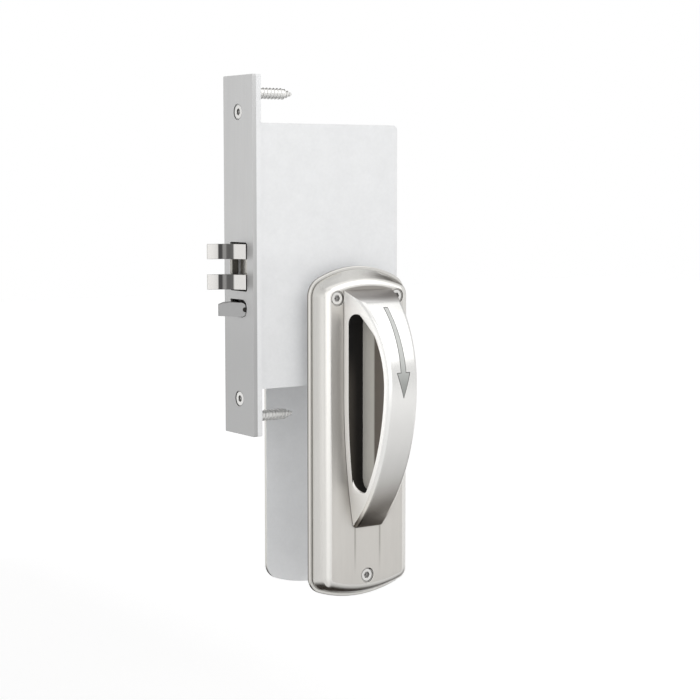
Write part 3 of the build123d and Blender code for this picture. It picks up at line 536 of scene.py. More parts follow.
def corner_prism(work, side, rows, corners):
    """A closed prism from inside the web to the flank, which a ray from outside finds beside the corner."""
    start = Vector((handle_high.x + LAP, corners[-1].x, corners[-1].y))
    _, flank, slope, _ = dressed["arch_handle"].ray_cast(start, (-1.0, 0.0, 0.0))

    def at(place, half):
        return work.verts.new((HANDLE_X + side * half, place.x, place.y))

    def flank_half(place):
        rise = slope.y * (place.x - flank.y) + slope.z * (place.y - flank.z)
        return flank.x - rise / slope.x - HANDLE_X + PROUD

    deep = WEB / 2 - LAP
    laps = [rows[-1][0] + rows[-1][1] * LAP, *corners, rows[0][0] + rows[0][1] * LAP]
    near = [at(place, flank_half(place)) for place in laps]
    far = [at(place, deep) for place in laps]
    strips = []
    for place, out in rows:
        lip = [at(place + out * away, flank_half(place) - depth) for away, depth in LIP]
        strips.append(lip + [at(place, deep)])
    for a, b in zip(strips, strips[1:]):
        for i in range(len(LIP)):
            face = work.faces.new((a[i], a[i + 1], b[i + 1], b[i]))
            face.material_index = 1 if i == len(LIP) - 1 else 0
    work.faces.new([strip[0] for strip in strips] + near)
    work.faces.new([strip[-1] for strip in strips] + far)
    work.faces.new(strips[-1] + [far[0], near[0]])
    work.faces.new(strips[0] + [far[-1], near[-1]])
    for i in range(len(laps) - 1):
        work.faces.new((near[i], far[i], far[i + 1], near[i + 1]))


def recess_corners():
    work = bmesh.new()
    for side in (-1, 1):
        for rows, corners in (arch_corner(), scoop_corner()):
            corner_prism(work, side, rows, corners)
    bmesh.ops.recalc_face_normals(work, faces=work.faces)
    mesh = bpy.data.meshes.new("recess_corners")
    work.to_mesh(mesh)
    work.free()
    mesh.materials.append(FLANK_STEEL)
    # The second material is the recess floor's painted shade.
    mesh.materials.append(RECESS_FLOOR_SHADE)
    mesh.shade_smooth()
    mesh.set_sharp_from_angle(angle=EDGE_ANGLE)
    piece = new_piece("recess_corners", mesh)
    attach(piece, "handle")
    return piece


print("recess_corners", len(recess_corners().data.polygons))

# %% [markdown]
# ## Ledge, face and screw heads
# The handle's flat top is a blasted ledge, darkened with painted shade and painted lighter where it meets
# the polished strap. The escutcheon's face is duller than its bevels, and a mask in depth lightens the ridge
# between them with a painted highlight. Painted shade darkens the hex sockets and the grooves round the
# screw heads, picked out by their distance from the screws' axes.

# %% Ledge above the strap
LEDGE_L, LEDGE_DROP, LEDGE_PALE, LEDGE_LOOKS = 13.9 * MM, 6.2 * MM, 0.55, 0.85
LEDGE_END_Y = HANDLE_BACK_Y - LEDGE_L
# Painted shade: the ledge is painted dark, and lighter where it meets the strap.
LEDGE_SHADED_STEEL = metal("ledge_blasted_shaded_steel", (0.315, 0.300, 0.290), 0.38, scale=1300.0)
fade_along(LEDGE_SHADED_STEEL, "Y", HANDLE_BACK_Y - LEDGE_PALE * LEDGE_L, LEDGE_END_Y, (0.62, 0.61, 0.60))


def on_ledge(centre, normal):
    above = centre.z > handle_high.z - LEDGE_DROP - SKIN and centre.y > LEDGE_END_Y - SKIN
    return above and normal.z > LEDGE_LOOKS


paint_faces(dressed["arch_handle"], LEDGE_SHADED_STEEL, on_ledge)

# %% Face and ridge
FLAT_LOOKS = 0.9997
# Painted highlight: a mask in depth lightens the ridge between the face and the bevels.
RIDGE_HIGHLIGHT_FROM, RIDGE_HIGHLIGHT_TO = 1.35 * MM, 0.65 * MM
fade_along(ESCUTCHEON_STEEL, "Y", FACE_Y + RIDGE_HIGHLIGHT_FROM, FACE_Y + RIDGE_HIGHLIGHT_TO, (0.655, 0.645, 0.62))
paint_faces(dressed["escutcheon"], FACE_STEEL, lambda centre, normal: normal.y < -FLAT_LOOKS)

# %% Sockets and screw grooves
TRIM_HEAD_R, ARMOR_HEAD_R = 3.6 * MM, 4.0 * MM
TRIM_GAP, ARMOR_GAP, HAIR = 0.8 * MM, 0.5 * MM, 0.01 * MM
SOCKET_R, SOCKET_DEPTH = 2.0 * MM, 1.2 * MM
screw_low, screw_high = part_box("trim_screws")
TRIM_SCREWS = [
    (screw_low.x + TRIM_HEAD_R, screw_high.z - TRIM_HEAD_R),
    (screw_high.x - TRIM_HEAD_R, screw_high.z - TRIM_HEAD_R),
    (HANDLE_X, screw_low.z + TRIM_HEAD_R),
]
TRIM_HEAD_Y = screw_low.y
front_low, front_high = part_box("armor_screws")
ARMOR_SCREWS = [(0.0, front_high.z - ARMOR_HEAD_R), (0.0, front_low.z + ARMOR_HEAD_R)]
ARMOR_HEAD_X = front_low.x


def from_axis(u, v, axes):
    return min(hypot(u - a, v - b) for a, b in axes)


def trim_socket(centre, normal):
    deep = centre.y > TRIM_HEAD_Y + SKIN
    return deep and from_axis(centre.x, centre.z, TRIM_SCREWS) < SOCKET_R


def armor_socket(centre, normal):
    deep = centre.x > ARMOR_HEAD_X + SKIN
    return deep and from_axis(centre.y, centre.z, ARMOR_SCREWS) < SOCKET_R


def trim_groove(centre, normal):
    reach = from_axis(centre.x, centre.z, TRIM_SCREWS)
    return centre.y > HANDLE_BACK_Y and TRIM_HEAD_R - SKIN < reach < TRIM_HEAD_R + TRIM_GAP + HAIR


def armor_groove(centre, normal):
    reach = from_axis(centre.y, centre.z, ARMOR_SCREWS)
    return ARMOR_HEAD_R - SKIN < reach < ARMOR_HEAD_R + ARMOR_GAP + HAIR


# Painted shade: the hex sockets and the grooves round the screw heads are painted dark.
paint_faces(dressed["trim_screws"], SOCKET_SHADE, trim_socket)
paint_faces(dressed["armor_screws"], SOCKET_SHADE, armor_socket)
paint_faces(dressed["escutcheon"], GROOVE_SHADE, trim_groove)
paint_faces(dressed["armor_front"], GROOVE_SHADE, armor_groove)

# %% [markdown]
# ## Dark seams
# Two dark lines run right round the trim. The back plate's edge darkens towards its rear, and painted shade
# blackens the escutcheon's low foot along the tight joint under it.

# %% Gasket and joint
PLATE_FRONT_Y, PLATE_REAR_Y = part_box("back_plate")[0].y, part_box("back_plate")[1].y
JOINT_H, REAR_DARK_FROM, REAR_DARK_TO = 0.7 * MM, 1.5 * MM, 1.0 * MM
# The back plate's edge darkens towards its rear.
PLATE_EDGE_REAR_DARK = metal("plate_edge_darker_rear", (0.578, 0.560, 0.522), 0.30, UPRIGHT, 1300.0)
fade_along(PLATE_EDGE_REAR_DARK, "Y", PLATE_REAR_Y - REAR_DARK_FROM, PLATE_REAR_Y - REAR_DARK_TO, (0.10, 0.095, 0.09))


def on_rim(centre, normal):
    return abs(normal.y) < EDGE_ON


def on_joint(centre, normal):
    return on_rim(centre, normal) and centre.y > PLATE_FRONT_Y - JOINT_H


def on_inner_side(centre, normal):
    return normal.y * centre.y < 0 and abs(normal.y) > LOOKS_ALONG


for name in ("back_plate", "outside_plate"):
    paint_faces(dressed[name], CASE_STEEL, on_inner_side)
paint_faces(dressed["back_plate"], PLATE_EDGE_REAR_DARK, on_rim)
# Painted shade: the escutcheon's low foot is painted black along the joint.
paint_faces(dressed["escutcheon"], GROOVE_SHADE, on_joint)

# %% [markdown]
# ## Rub marks round the handle
# Each pull draws the foot's two lower corners down the escutcheon, and they leave a pair of faint dark
# lines. Painted shade darkens the steel a little close beside the handle's lower part. A mark lies where the
# distance from the middle is right and so is the height, so masks multiplied together, some across and some
# down, draw both sides at once.

# %% Rub lines
RUB_HALF, RUB_WIDTH = 8.7 * MM, 1.0 * MM
RUB_END_Z, RUB_FULL_Z = FOOT_Z - 30.0 * MM, FOOT_Z - 6.0 * MM
RUB_TOP_Z, RUB_TOP_FULL_Z = FOOT_Z + 12.0 * MM, FOOT_Z + 2.0 * MM
HANDLE_HALF, CONTACT_SHADE_W, CONTACT_SHADE_FULL_H = (handle_high.x - handle_low.x) / 2, 5.5 * MM, 25.0 * MM


def blend_where_all(material, masks, far_colour):
    tree = material.node_tree
    mask = masks[0]
    for other in masks[1:]:
        both = tree.nodes.new("ShaderNodeMath")
        both.operation = "MULTIPLY"
        tree.links.new(mask, both.inputs[0])
        tree.links.new(other, both.inputs[1])
        mask = both.outputs[0]
    blend_to(material, mask, far_colour)


face_tree = FACE_STEEL.node_tree
# Painted shade beside the handle's lower part.
blend_where_all(FACE_STEEL, [
    step_along(face_tree, "X", HANDLE_HALF + CONTACT_SHADE_W, HANDLE_HALF - CONTACT_SHADE_W, HANDLE_X),
    step_along(face_tree, "Z", FOOT_Z, FOOT_Z + CONTACT_SHADE_FULL_H),
], (0.28, 0.267, 0.246))
blend_where_all(FACE_STEEL, [
    step_along(face_tree, "X", RUB_HALF - RUB_WIDTH, RUB_HALF, HANDLE_X),
    step_along(face_tree, "X", RUB_HALF + RUB_WIDTH, RUB_HALF, HANDLE_X),
    step_along(face_tree, "Z", RUB_END_Z, RUB_FULL_Z),
    step_along(face_tree, "Z", RUB_TOP_Z, RUB_TOP_FULL_Z),
], (0.36, 0.345, 0.32))
print("rub lines at", round((HANDLE_X - RUB_HALF) / MM, 1), round((HANDLE_X + RUB_HALF) / MM, 1))

# %% [markdown]
# ## Latch bevel
# Pale and dark bands across the latch's concave bevel are painted reflections of what the curved steel
# mirrors. A colour ramp along the bolt gives them, and only the bevel's faces take it.

# %% Banded bevel
BEVEL_L = 16.2 * MM
BEVEL_FROM_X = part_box("latch_bolt")[0].x
BEVEL_TO_X = BEVEL_FROM_X + BEVEL_L
BEVEL_LEAN_Y, BEVEL_LEAN_X = 0.2, 0.05
WARM = (1.0, 0.98, 0.95)
# Painted reflections: pale and dark bands along the bevel.
REFLECTION_BANDS = [
    (0.00, 0.52),
    (0.18, 0.48),
    (0.33, 0.42),
    (0.365, 0.042),
    (0.46, 0.042),
    (0.51, 0.165),
    (0.575, 0.160),
    (0.605, 0.085),
    (0.755, 0.100),
    (0.785, 0.56),
]


def ramp_along(tree, axis, start, end, stops):
    """A colour ramp between two places on an axis; stops are (share of the way, colour)."""
    n, link = tree.nodes, tree.links.new
    place = n.new("ShaderNodeTexCoord")
    split = n.new("ShaderNodeSeparateXYZ")
    along = n.new("ShaderNodeMapRange")
    along.inputs["From Min"].default_value = start
    along.inputs["From Max"].default_value = end
    ramp = n.new("ShaderNodeValToRGB")
    marks = ramp.color_ramp.elements
    for i, (position, colour) in enumerate(stops):
        mark = marks[i] if i < 2 else marks.new(position)
        mark.position = position
        mark.color = (*colour, 1.0)
    link(place.outputs["Object"], split.inputs["Vector"])
    link(split.outputs[axis], along.inputs["Value"])
    link(along.outputs["Result"], ramp.inputs["Fac"])
    return ramp.outputs["Color"]


def bevel_with_painted_reflection():
    material = metal("latch_bevel_painted_reflection", (0.6, 0.6, 0.6), 0.24, INWARD, 1500.0)
    tree = material.node_tree
    stops = [(share, tuple(level * tint for tint in WARM)) for share, level in REFLECTION_BANDS]
    bands = ramp_along(tree, "X", BEVEL_FROM_X, BEVEL_TO_X, stops)
    tree.links.new(bands, tree.nodes["Principled BSDF"].inputs["Base Color"])
    return material


def on_bevel(centre, normal):
    leans = normal.y < -BEVEL_LEAN_Y and normal.x < -BEVEL_LEAN_X
    return leans and centre.x < BEVEL_TO_X + SKIN


paint_faces(dressed["latch_bolt"], bevel_with_painted_reflection(), on_bevel)

# %% [markdown]
# ## Painted shade in the openings
# Behind the front, painted shade darkens the walls of the bolts' openings, which keep a bright rim at the
# front. The mask is a step along the bolt's direction. Painted shade also makes the front's lower end a
# little darker than its top, which takes a long mask down its height.

# %% Opening walls
FRONT_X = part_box("armor_front")[0].x
# Painted shade: the opening walls darken behind a bright front rim.
OPENING_WALL = metal("opening_wall_painted_shade", (0.95, 0.935, 0.90), 0.34)
BRIGHT_RIM, OPENING_SHADE_FROM = 1.2 * MM, 1.7 * MM
fade_along(OPENING_WALL, "X", FRONT_X + BRIGHT_RIM, FRONT_X + OPENING_SHADE_FROM, (0.075, 0.070, 0.063))
OPENING_HALF, OPENING_LOW_Z, OPENING_HIGH_Z = 9.6 * MM, -34.6 * MM, 8.2 * MM
WALL_LOOKS = 0.5


def on_opening_wall(centre, normal):
    inside = abs(centre.y) < OPENING_HALF and OPENING_LOW_Z < centre.z < OPENING_HIGH_Z
    return inside and abs(normal.x) < WALL_LOOKS


for name in ("armor_front", "inner_front"):
    paint_faces(dressed[name], OPENING_WALL, on_opening_wall)

# %% Front's lower end
FRONT_TOP_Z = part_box("armor_front")[1].z
DARKER_FROM, DARKER_TO = 0.25, -0.55
# Painted shade: the front darkens towards its lower end.
fade_along(FRONT_STEEL, "Z", DARKER_FROM * FRONT_TOP_Z, DARKER_TO * FRONT_TOP_Z, (0.375, 0.375, 0.374))
print("front darkens below z", round(DARKER_FROM * FRONT_TOP_Z / MM, 1))

# %% [markdown]
# ## Etched arrow
# The arrow on the strap shows which way to pull. It is etched and filled, so its face is dull and its
# outline dark. Two thin plates follow the strap's arc: the outline is the same shape grown by a hair, and
# the fill lies a touch prouder.

# %% Arrow plates
ARROW_TOP_Z, NECK_Z, TIP_Z = -28.8 * MM, -64.3 * MM, -77.5 * MM
SHAFT_TOP, SHAFT_END, HEAD_HALF = 1.1 * MM, 1.5 * MM, 4.0 * MM
OUTLINE, INLAY_DEPTH = 0.40 * MM, 0.15 * MM
LINE_LIFT, FILL_LIFT = 0.02 * MM, 0.05 * MM
HEAD_GROWTH, TIP_GROWTH, TIP_TAPER, NECK_STEP = 1.6, 2.4, 0.98, 0.05 * MM
SHAFT_STEPS, HEAD_STEPS = 18, 8


def strap_point(x, z, lift):
    radius = UPPER_R if z > CROWN_Z else LOWER_R
    reach = sqrt(radius**2 - (z - CROWN_Z) ** 2)
    out = Vector((0.0, -reach / radius, (z - CROWN_Z) / radius))
    on_strap = Vector((HANDLE_X + x, handle_low.y + radius - reach, z))
    return on_strap + out * lift


def arrow_outline(grow):
    """Half widths down the arrow, as (z, half width), with the head's step given twice."""
    rows = []
    for i in range(SHAFT_STEPS + 1):
        t = i / SHAFT_STEPS
        z = ARROW_TOP_Z + grow + (NECK_Z - ARROW_TOP_Z) * t
        rows.append((z, SHAFT_TOP + (SHAFT_END - SHAFT_TOP) * t + grow))
    head_half, tip_z, neck_z = HEAD_HALF + HEAD_GROWTH * grow, TIP_Z - TIP_GROWTH * grow, NECK_Z + grow
    for i in range(HEAD_STEPS + 1):
        t = i / HEAD_STEPS
        rows.append((neck_z - NECK_STEP + (tip_z - neck_z) * t, head_half * (1 - TIP_TAPER * t)))
    return rows


def arrow_plate(name, grow, lift, material):
    work = bmesh.new()
    rings = []
    for z, half in arrow_outline(grow):
        corners = ((-half, lift), (half, lift), (half, -INLAY_DEPTH), (-half, -INLAY_DEPTH))
        rings.append([work.verts.new(strap_point(x, z, height)) for x, height in corners])
    for upper, lower in zip(rings, rings[1:]):
        for i in range(4):
            j = (i + 1) % 4
            work.faces.new((upper[i], upper[j], lower[j], lower[i]))
    work.faces.new(rings[0])
    work.faces.new(reversed(rings[-1]))
    bmesh.ops.recalc_face_normals(work, faces=work.faces)
    mesh = bpy.data.meshes.new(name)
    work.to_mesh(mesh)
    work.free()
    mesh.materials.append(material)
    piece = new_piece(name, mesh)
    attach(piece, "handle")


ARROW_FILL = metal("arrow_etched_grey", (0.60, 0.61, 0.59), 0.5, metallic=0.0)
# Painted shade: the fill darkens towards the arrow's tip.
FILL_SHADE_FROM_Z = NECK_Z + 12.0 * MM
fade_along(ARROW_FILL, "Z", FILL_SHADE_FROM_Z, TIP_Z, (0.30, 0.31, 0.295))
ARROW_LINE = metal("arrow_outline_dark", (0.10, 0.10, 0.097), 0.5, metallic=0.0)
arrow_plate("arrow_line", OUTLINE, LINE_LIFT, ARROW_LINE)
arrow_plate("arrow_fill", 0.0, FILL_LIFT, ARROW_FILL)
print("arrow length", round((ARROW_TOP_Z - TIP_Z) / MM, 1), "mm")

# %% [markdown]
# ## Security pins
# Each hex socket has a small pin in its middle, so that only a drilled key fits. The pins repeat, so a
# Geometry Nodes tree sets one tapered pin on every point of a little mesh of socket centres. The same tree
# makes a flat dark disc of painted shade for the hole in the auxiliary latch's bevel.

# %% Pin tree
PIN_TAPER, PIN_SIDES = 0.7, 16


def geometry_tree(name, inputs):
    tree = bpy.data.node_groups.new(name, "GeometryNodeTree")
    tree.interface.new_socket("Geometry", in_out="INPUT", socket_type="NodeSocketGeometry")
    for label, kind in inputs:
        tree.interface.new_socket(label, in_out="INPUT", socket_type=kind)
    tree.interface.new_socket("Geometry", in_out="OUTPUT", socket_type="NodeSocketGeometry")
    return tree, tree.nodes.new("NodeGroupInput"), tree.nodes.new("NodeGroupOutput")


def finish_tree(tree, source, sink, geometry):
    n, link = tree.nodes, tree.links.new
    realize = n.new("GeometryNodeRealizeInstances")
    smooth = n.new("GeometryNodeSetShadeSmooth")
    paint = n.new("GeometryNodeSetMaterial")
    link(geometry, realize.inputs["Geometry"])
    link(realize.outputs[0], smooth.inputs["Geometry"])
    link(smooth.outputs[0], paint.inputs["Geometry"])
    link(source.outputs["Material"], paint.inputs["Material"])
    link(paint.outputs[0], sink.inputs["Geometry"])


def pin_tree():
    tree, source, sink = geometry_tree("socket_pins", [
        ("Radius", "NodeSocketFloat"),
        ("Length", "NodeSocketFloat"),
        ("Turn", "NodeSocketRotation"),
        ("Material", "NodeSocketMaterial"),
    ])
    n, link = tree.nodes, tree.links.new
    taper = n.new("ShaderNodeMath")
    taper.operation = "MULTIPLY"
    taper.inputs[1].default_value = PIN_TAPER
    pin = n.new("GeometryNodeMeshCone")
    pin.inputs["Vertices"].default_value = PIN_SIDES
    place = n.new("GeometryNodeInstanceOnPoints")
    link(source.outputs["Radius"], taper.inputs[0])
    link(taper.outputs[0], pin.inputs["Radius Top"])
    link(source.outputs["Radius"], pin.inputs["Radius Bottom"])
    link(source.outputs["Length"], pin.inputs["Depth"])
    link(source.outputs["Geometry"], place.inputs["Points"])
    link(pin.outputs["Mesh"], place.inputs["Instance"])
    link(source.outputs["Turn"], place.inputs["Rotation"])
    finish_tree(tree, source, sink, place.outputs["Instances"])
    return tree


def grow_on_points(name, points, tree, values):
    mesh = bpy.data.meshes.new(name)
    mesh.from_pydata(points, [], [])
    piece = new_piece(name, mesh)
    growth = piece.modifiers.new("growth", "NODES")
    growth.node_group = tree
    for item in tree.interface.items_tree:
        if item.in_out == "INPUT" and item.name in values:
            growth[item.identifier] = values[item.name]
    plain_mesh(piece)
    return piece


# %% Pins in place
PIN_R, PIN_BELOW = 0.55 * MM, 0.2 * MM
PIN_TREE = pin_tree()
PIN_SETS = {
    "trim_pins": ([(x, TRIM_HEAD_Y + SOCKET_DEPTH, z) for x, z in TRIM_SCREWS], (pi / 2, 0.0, 0.0)),
    "front_pins": ([(ARMOR_HEAD_X + SOCKET_DEPTH, y, z) for y, z in ARMOR_SCREWS], (0.0, -pi / 2, 0.0)),
}
for name, (points, turn) in PIN_SETS.items():
    sizes = {"Radius": PIN_R, "Length": SOCKET_DEPTH - PIN_BELOW, "Turn": turn, "Material": PIN_GREY}
    pins = grow_on_points(name, points, PIN_TREE, sizes)
    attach(pins, "lock")
    print(name, len(pins.data.polygons), [round(d / MM, 1) for d in pins.dimensions])

# %% Painted shade in the auxiliary latch's hole
# Painted shade: a flat black disc in the hole of the auxiliary latch's bevel.
AUX_HOLE_SHADE_AT = (FRONT_X - 0.25 * MM, -6.9 * MM, -29.9 * MM)
AUX_HOLE_SHADE_R, AUX_HOLE_SHADE_L = 1.35 * MM, 0.35 * MM
AUX_BEVEL_LOOKS = Vector((-13.7, -9.0, 0.0))
aux_hole_shade = grow_on_points("aux_hole_shade", [AUX_HOLE_SHADE_AT], PIN_TREE, {
    "Radius": AUX_HOLE_SHADE_R,
    "Length": AUX_HOLE_SHADE_L,
    "Turn": tuple(AUX_BEVEL_LOOKS.to_track_quat("Z", "Y").to_euler()),
    "Material": GROOVE_SHADE,
})
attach(aux_hole_shade, "aux")
print("aux_hole_shade", [round(d / MM, 2) for d in aux_hole_shade.dimensions])

# %% [markdown]
# ## Wood screw threads
# The two screws that hold the lock in its pocket have a coarse wood thread. A thread is a ridge that
# follows a helix, so the tree sweeps a small diamond along a spiral curve, once for the shank and once for
# the tip.

# %% Thread tree
DIAMOND, STEPS_A_TURN, TIP_END_R = 4, 20, 0.6 * MM


def thread_tree():
    tree, source, sink = geometry_tree("wood_thread", [
        ("Radius", "NodeSocketFloat"),
        ("Shank", "NodeSocketFloat"),
        ("Tip", "NodeSocketFloat"),
        ("Pitch", "NodeSocketFloat"),
        ("Ridge", "NodeSocketFloat"),
        ("Turn", "NodeSocketRotation"),
        ("Material", "NodeSocketMaterial"),
    ])
    n, link = tree.nodes, tree.links.new
    both = n.new("GeometryNodeJoinGeometry")
    ridge = n.new("GeometryNodeCurvePrimitiveCircle")
    ridge.inputs["Resolution"].default_value = DIAMOND
    link(source.outputs["Ridge"], ridge.inputs["Radius"])
    place = n.new("GeometryNodeInstanceOnPoints")
    for length, narrow in (("Shank", False), ("Tip", True)):
        turns = n.new("ShaderNodeMath")
        turns.operation = "DIVIDE"
        helix = n.new("GeometryNodeCurveSpiral")
        helix.inputs["Resolution"].default_value = STEPS_A_TURN
        helix.inputs["End Radius"].default_value = TIP_END_R
        link(source.outputs[length], turns.inputs[0])
        link(source.outputs["Pitch"], turns.inputs[1])
        link(turns.outputs[0], helix.inputs["Rotations"])
        link(source.outputs["Radius"], helix.inputs["Start Radius"])
        link(source.outputs[length], helix.inputs["Height"])
        if not narrow:
            link(source.outputs["Radius"], helix.inputs["End Radius"])
        upright = n.new("GeometryNodeSetCurveNormal")
        upright.mode = "Z_UP"
        sweep = n.new("GeometryNodeCurveToMesh")
        sweep.inputs["Fill Caps"].default_value = True
        link(helix.outputs["Curve"], upright.inputs["Curve"])
        link(upright.outputs["Curve"], sweep.inputs["Curve"])
        link(ridge.outputs["Curve"], sweep.inputs["Profile Curve"])
        if narrow:
            shift = n.new("GeometryNodeTransform")
            lift = n.new("ShaderNodeCombineXYZ")
            link(source.outputs["Shank"], lift.inputs["Z"])
            link(lift.outputs[0], shift.inputs["Translation"])
            link(sweep.outputs["Mesh"], shift.inputs["Geometry"])
            link(shift.outputs["Geometry"], both.inputs[0])
        else:
            link(sweep.outputs["Mesh"], both.inputs[0])
    link(source.outputs["Geometry"], place.inputs["Points"])
    link(both.outputs[0], place.inputs["Instance"])
    link(source.outputs["Turn"], place.inputs["Rotation"])
    finish_tree(tree, source, sink, place.outputs["Instances"])
    return tree


# %% Threads in place
mount_low, mount_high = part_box("mounting_screws")
MOUNT_HEAD_R, SHANK_R, TIP_L, PLAIN_L = 5.0 * MM, 2.75 * MM, 6.0 * MM, 3.0 * MM
BARE_TIP, PITCH_L, RIDGE_R = 0.5 * MM, 2.3 * MM, 0.5 * MM
SHANK_L = mount_high.x - TIP_L - PLAIN_L
starts = [(PLAIN_L, 0.0, mount_high.z - MOUNT_HEAD_R), (PLAIN_L, 0.0, mount_low.z + MOUNT_HEAD_R)]
threads = grow_on_points("mount_threads", starts, thread_tree(), {
    "Radius": SHANK_R,
    "Shank": SHANK_L,
    "Tip": TIP_L - BARE_TIP,
    "Pitch": PITCH_L,
    "Ridge": RIDGE_R,
    "Turn": (0.0, pi / 2, 0.0),
    "Material": SCREW_STEEL,
})
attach(threads, "lock")
print("threads", len(threads.data.polygons), [round(d / MM, 1) for d in threads.dimensions])

# %% [markdown]
# ## The camera
# The front of the lock and its escutcheon were fitted together, which gives one camera: left of the part,
# a little above its middle, with a short telephoto lens and no shift.

# %% Camera
YAW, PITCH = radians(34.4466), radians(5.5647)
CAMERA_AT = Vector((-0.51347, -0.85203, 0.04313))
LENS, SENSOR = 89.80, 36.0
forward = Vector((sin(YAW) * cos(PITCH), cos(YAW) * cos(PITCH), -sin(PITCH)))
right = Vector((cos(YAW), -sin(YAW), 0.0))
up = right.cross(forward)
camera_data = bpy.data.cameras.new("camera")
camera_data.lens = LENS
camera_data.sensor_width = SENSOR
camera = bpy.data.objects.new("camera", camera_data)
turned = Matrix((right, up, -forward)).transposed().to_4x4()
camera.matrix_world = Matrix.Translation(CAMERA_AT) @ turned
bpy.context.scene.collection.objects.link(camera)
bpy.context.scene.camera = camera
print("lens", camera_data.lens)

# %% [markdown]
# ## Floor and world
# The floor is plain and pale, and white where the camera or a mirror looks at it, with the part's shadow
# kept: it glows only for those rays, a little more far away, so that no horizon shows. The world does the
# same, and lights the part at a lower level.

# %% Floor and world
def seen_by_eye(tree, low, high):
    """low for rays that only light the part, high for camera, mirror and glass rays."""
    n, link = tree.nodes, tree.links.new
    path = n.new("ShaderNodeLightPath")
    seen = path.outputs["Is Camera Ray"]
    for kind in ("Is Glossy Ray", "Is Transmission Ray"):
        either = n.new("ShaderNodeMath")
        either.operation = "MAXIMUM"
        link(seen, either.inputs[0])
        link(path.outputs[kind], either.inputs[1])
        seen = either.outputs[0]
    level = n.new("ShaderNodeMapRange")
    level.inputs["To Min"].default_value = low
    level.inputs["To Max"].default_value = high
    link(seen, level.inputs["Value"])
    return level


def flat_sheet(name, corners, material):
    mesh = bpy.data.meshes.new(name)
    mesh.from_pydata(corners, [], [(0, 1, 2, 3)])
    mesh.materials.append(material)
    sheet = new_piece(name, mesh)
    sheet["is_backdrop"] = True
    return sheet


def level_corners(x0, x1, y0, y1, z):
    return [(x0, y0, z), (x1, y0, z), (x1, y1, z), (x0, y1, z)]


NEAR_GLOW, FAR_GLOW = 0.40, 0.57
NEAR_REACH, FAR_REACH = 0.45, 1.60
SKY_LIGHT, SKY_SEEN = 0.55, 1.0
FLOOR_DROP, FLOOR_HALF = 0.12, 4.0


def pale_floor():
    material = bpy.data.materials.new("pale_floor")
    material.use_nodes = True
    n, link = material.node_tree.nodes, material.node_tree.links.new
    shader = n["Principled BSDF"]
    shader.inputs["Base Color"].default_value = (0.8, 0.8, 0.8, 1.0)
    shader.inputs["Roughness"].default_value = 0.9
    shader.inputs["Emission Color"].default_value = (1.0, 1.0, 1.0, 1.0)
    place = n.new("ShaderNodeTexCoord")
    reach = n.new("ShaderNodeVectorMath")
    reach.operation = "LENGTH"
    spread = n.new("ShaderNodeMapRange")
    spread.inputs["From Min"].default_value = NEAR_REACH
    spread.inputs["From Max"].default_value = FAR_REACH
    spread.inputs["To Min"].default_value = NEAR_GLOW
    spread.inputs["To Max"].default_value = FAR_GLOW
    glow = seen_by_eye(material.node_tree, 0.0, NEAR_GLOW)
    link(place.outputs["Object"], reach.inputs[0])
    link(reach.outputs["Value"], spread.inputs["Value"])
    link(spread.outputs["Result"], glow.inputs["To Max"])
    link(glow.outputs["Result"], shader.inputs["Emission Strength"])
    return material


def white_world():
    world = bpy.data.worlds.new("studio")
    bpy.context.scene.world = world
    world.use_nodes = True
    sky = world.node_tree.nodes["Background"]
    sky.inputs["Color"].default_value = (1.0, 1.0, 1.0, 1.0)
    level = seen_by_eye(world.node_tree, SKY_LIGHT, SKY_SEEN)
    world.node_tree.links.new(level.outputs["Result"], sky.inputs["Strength"])


FLOOR_Z = cad_box[0].z - FLOOR_DROP
floor_corners = level_corners(-FLOOR_HALF, FLOOR_HALF, -FLOOR_HALF, FLOOR_HALF, FLOOR_Z)
flat_sheet("floor", floor_corners, pale_floor())
white_world()
print("floor at", round(FLOOR_Z, 3))

# %% [markdown]
# ## Lamps and cards
# Two large soft lamps whiten the strap and the ridge of the escutcheon, and three more light the left side.
# Polished metal shows its surroundings more than its lamps. A photographer gives it something dark to
# reflect where a form should turn away: two soft-edged cards lie under the part, one hangs high behind it
# and a paler one stands at its side. A small white card is tucked in behind the trim's rear edge, to keep
# that edge bright. The cards are seen in reflections only.

# %% Lamps
def soft_lamp(name, at, target, size_x, size_y, watts):
    data = bpy.data.lights.new(name, "AREA")
    data.shape = "RECTANGLE"
    data.size, data.size_y, data.energy = size_x, size_y, watts
    lamp = bpy.data.objects.new(name, data)
    lamp.location = at
    lamp.rotation_euler = (Vector(target) - Vector(at)).to_track_quat("-Z", "Y").to_euler()
    bpy.context.scene.collection.objects.link(lamp)


MIDDLE = (0.04, 0.0, -0.06)
soft_lamp("key", (0.67, -0.79, 0.72), MIDDLE, 0.9, 1.05, 2.7)
soft_lamp("top", (0.22, -0.22, 0.90), (0.22, -0.22, 0.0), 1.35, 0.62, 1.2)
soft_lamp("left_front", (-0.50, -1.34, 0.45), MIDDLE, 2.2, 1.8, 9.0)
soft_lamp("left_side", (-1.40, -0.05, 0.0), MIDDLE, 1.0, 1.2, 1.2)
soft_lamp("left_rim", (-1.13, 0.83, 0.0), MIDDLE, 0.5, 1.0, 2.0)

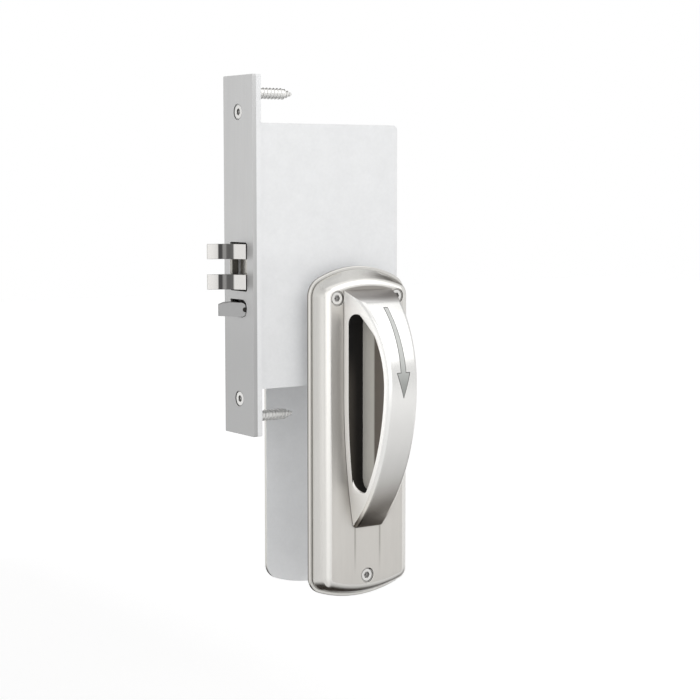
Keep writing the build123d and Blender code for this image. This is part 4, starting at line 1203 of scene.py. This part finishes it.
# %% Cards
def card_material(name, tone, axis, stops):
    """A cloth whose cover follows stops, given as (place on the axis, cover)."""
    material = bpy.data.materials.new(name)
    material.use_nodes = True
    n, link = material.node_tree.nodes, material.node_tree.links.new
    n.remove(n["Principled BSDF"])
    first, last = stops[0][0], stops[-1][0]
    shares = [((at - first) / (last - first), (cover, cover, cover)) for at, cover in stops]
    clear = n.new("ShaderNodeBsdfTransparent")
    cloth = n.new("ShaderNodeEmission")
    cloth.inputs["Color"].default_value = (*tone, 1.0)
    blend = n.new("ShaderNodeMixShader")
    link(ramp_along(material.node_tree, axis, first, last, shares), blend.inputs["Fac"])
    link(clear.outputs[0], blend.inputs[1])
    link(cloth.outputs[0], blend.inputs[2])
    link(blend.outputs[0], n["Material Output"].inputs["Surface"])
    return material


def mirror_card(name, corners, tone, axis, stops):
    card = flat_sheet(name, corners, card_material(name, tone, axis, stops))
    card.visible_camera = False
    card.visible_diffuse = False
    card.visible_transmission = False
    card.visible_shadow = False


CARD_LIFT = 0.002
UNDER_Z = FLOOR_Z + CARD_LIFT
FRONT_STOPS = [
    (-0.95, 0.0),
    (-0.50, 0.12),
    (-0.30, 0.16),
    (-0.165, 0.32),
    (-0.109, 0.54),
    (-0.072, 0.88),
    (-0.055, 1.0),
    (-0.03, 1.0),
]
DARK_CLOTH, GREY_CLOTH, PALE_CLOTH = (0.045, 0.036, 0.030), (0.14, 0.13, 0.12), (0.4, 0.39, 0.37)
WHITE_CARD = (1.0, 1.0, 1.0)
mirror_card("front_card", level_corners(0.04, 0.6, -0.95, -0.03, UNDER_Z), DARK_CLOTH, "Y", FRONT_STOPS)
UNDER_STOPS = [(-0.15, 0.0), (-0.05, 1.0), (0.13, 1.0), (0.20, 0.0)]
mirror_card("under_card", level_corners(-0.15, 0.20, -0.03, 0.7, UNDER_Z), DARK_CLOTH, "X", UNDER_STOPS)
BACK_STOPS = [(0.12, 0.0), (0.30, 0.55), (0.42, 1.0)]
mirror_card("back_card", level_corners(-0.3, 1.9, 0.12, 1.8, 0.8), GREY_CLOTH, "Y", BACK_STOPS)
SIDE_CORNERS = [(0.78, 1.05, -0.3), (1.18, 0.62, -0.3), (1.18, 0.62, 0.6), (0.78, 1.05, 0.6)]
SIDE_STOPS = [(-0.3, 0.0), (-0.1, 1.0), (0.6, 1.0)]
mirror_card("side_card", SIDE_CORNERS, PALE_CLOTH, "Z", SIDE_STOPS)
TUCKED_Y, TUCKED_X = PLATE_REAR_Y + 0.2 * MM, 0.035
TUCKED_OUTLINE = [(0.0, -0.19), (TUCKED_X, -0.19), (TUCKED_X, 0.0), (0.0, 0.0)]
TUCKED_CORNERS = [(x, TUCKED_Y, z) for x, z in TUCKED_OUTLINE]
mirror_card("tucked_card", TUCKED_CORNERS, WHITE_CARD, "X", [(0.0, 1.0), (TUCKED_X, 1.0)])

# %% [markdown]
# ## Sizes
# The two boxes are printed side by side, so that the visual model can be held against the CAD model.

# %% Sizes and finish
bpy.context.scene.view_settings.view_transform = "Standard"
boxes = {"cad": cad_box, "visual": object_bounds()}
for key, box in boxes.items():
    print(key, [[round(c, 4) for c in corner] for corner in box])
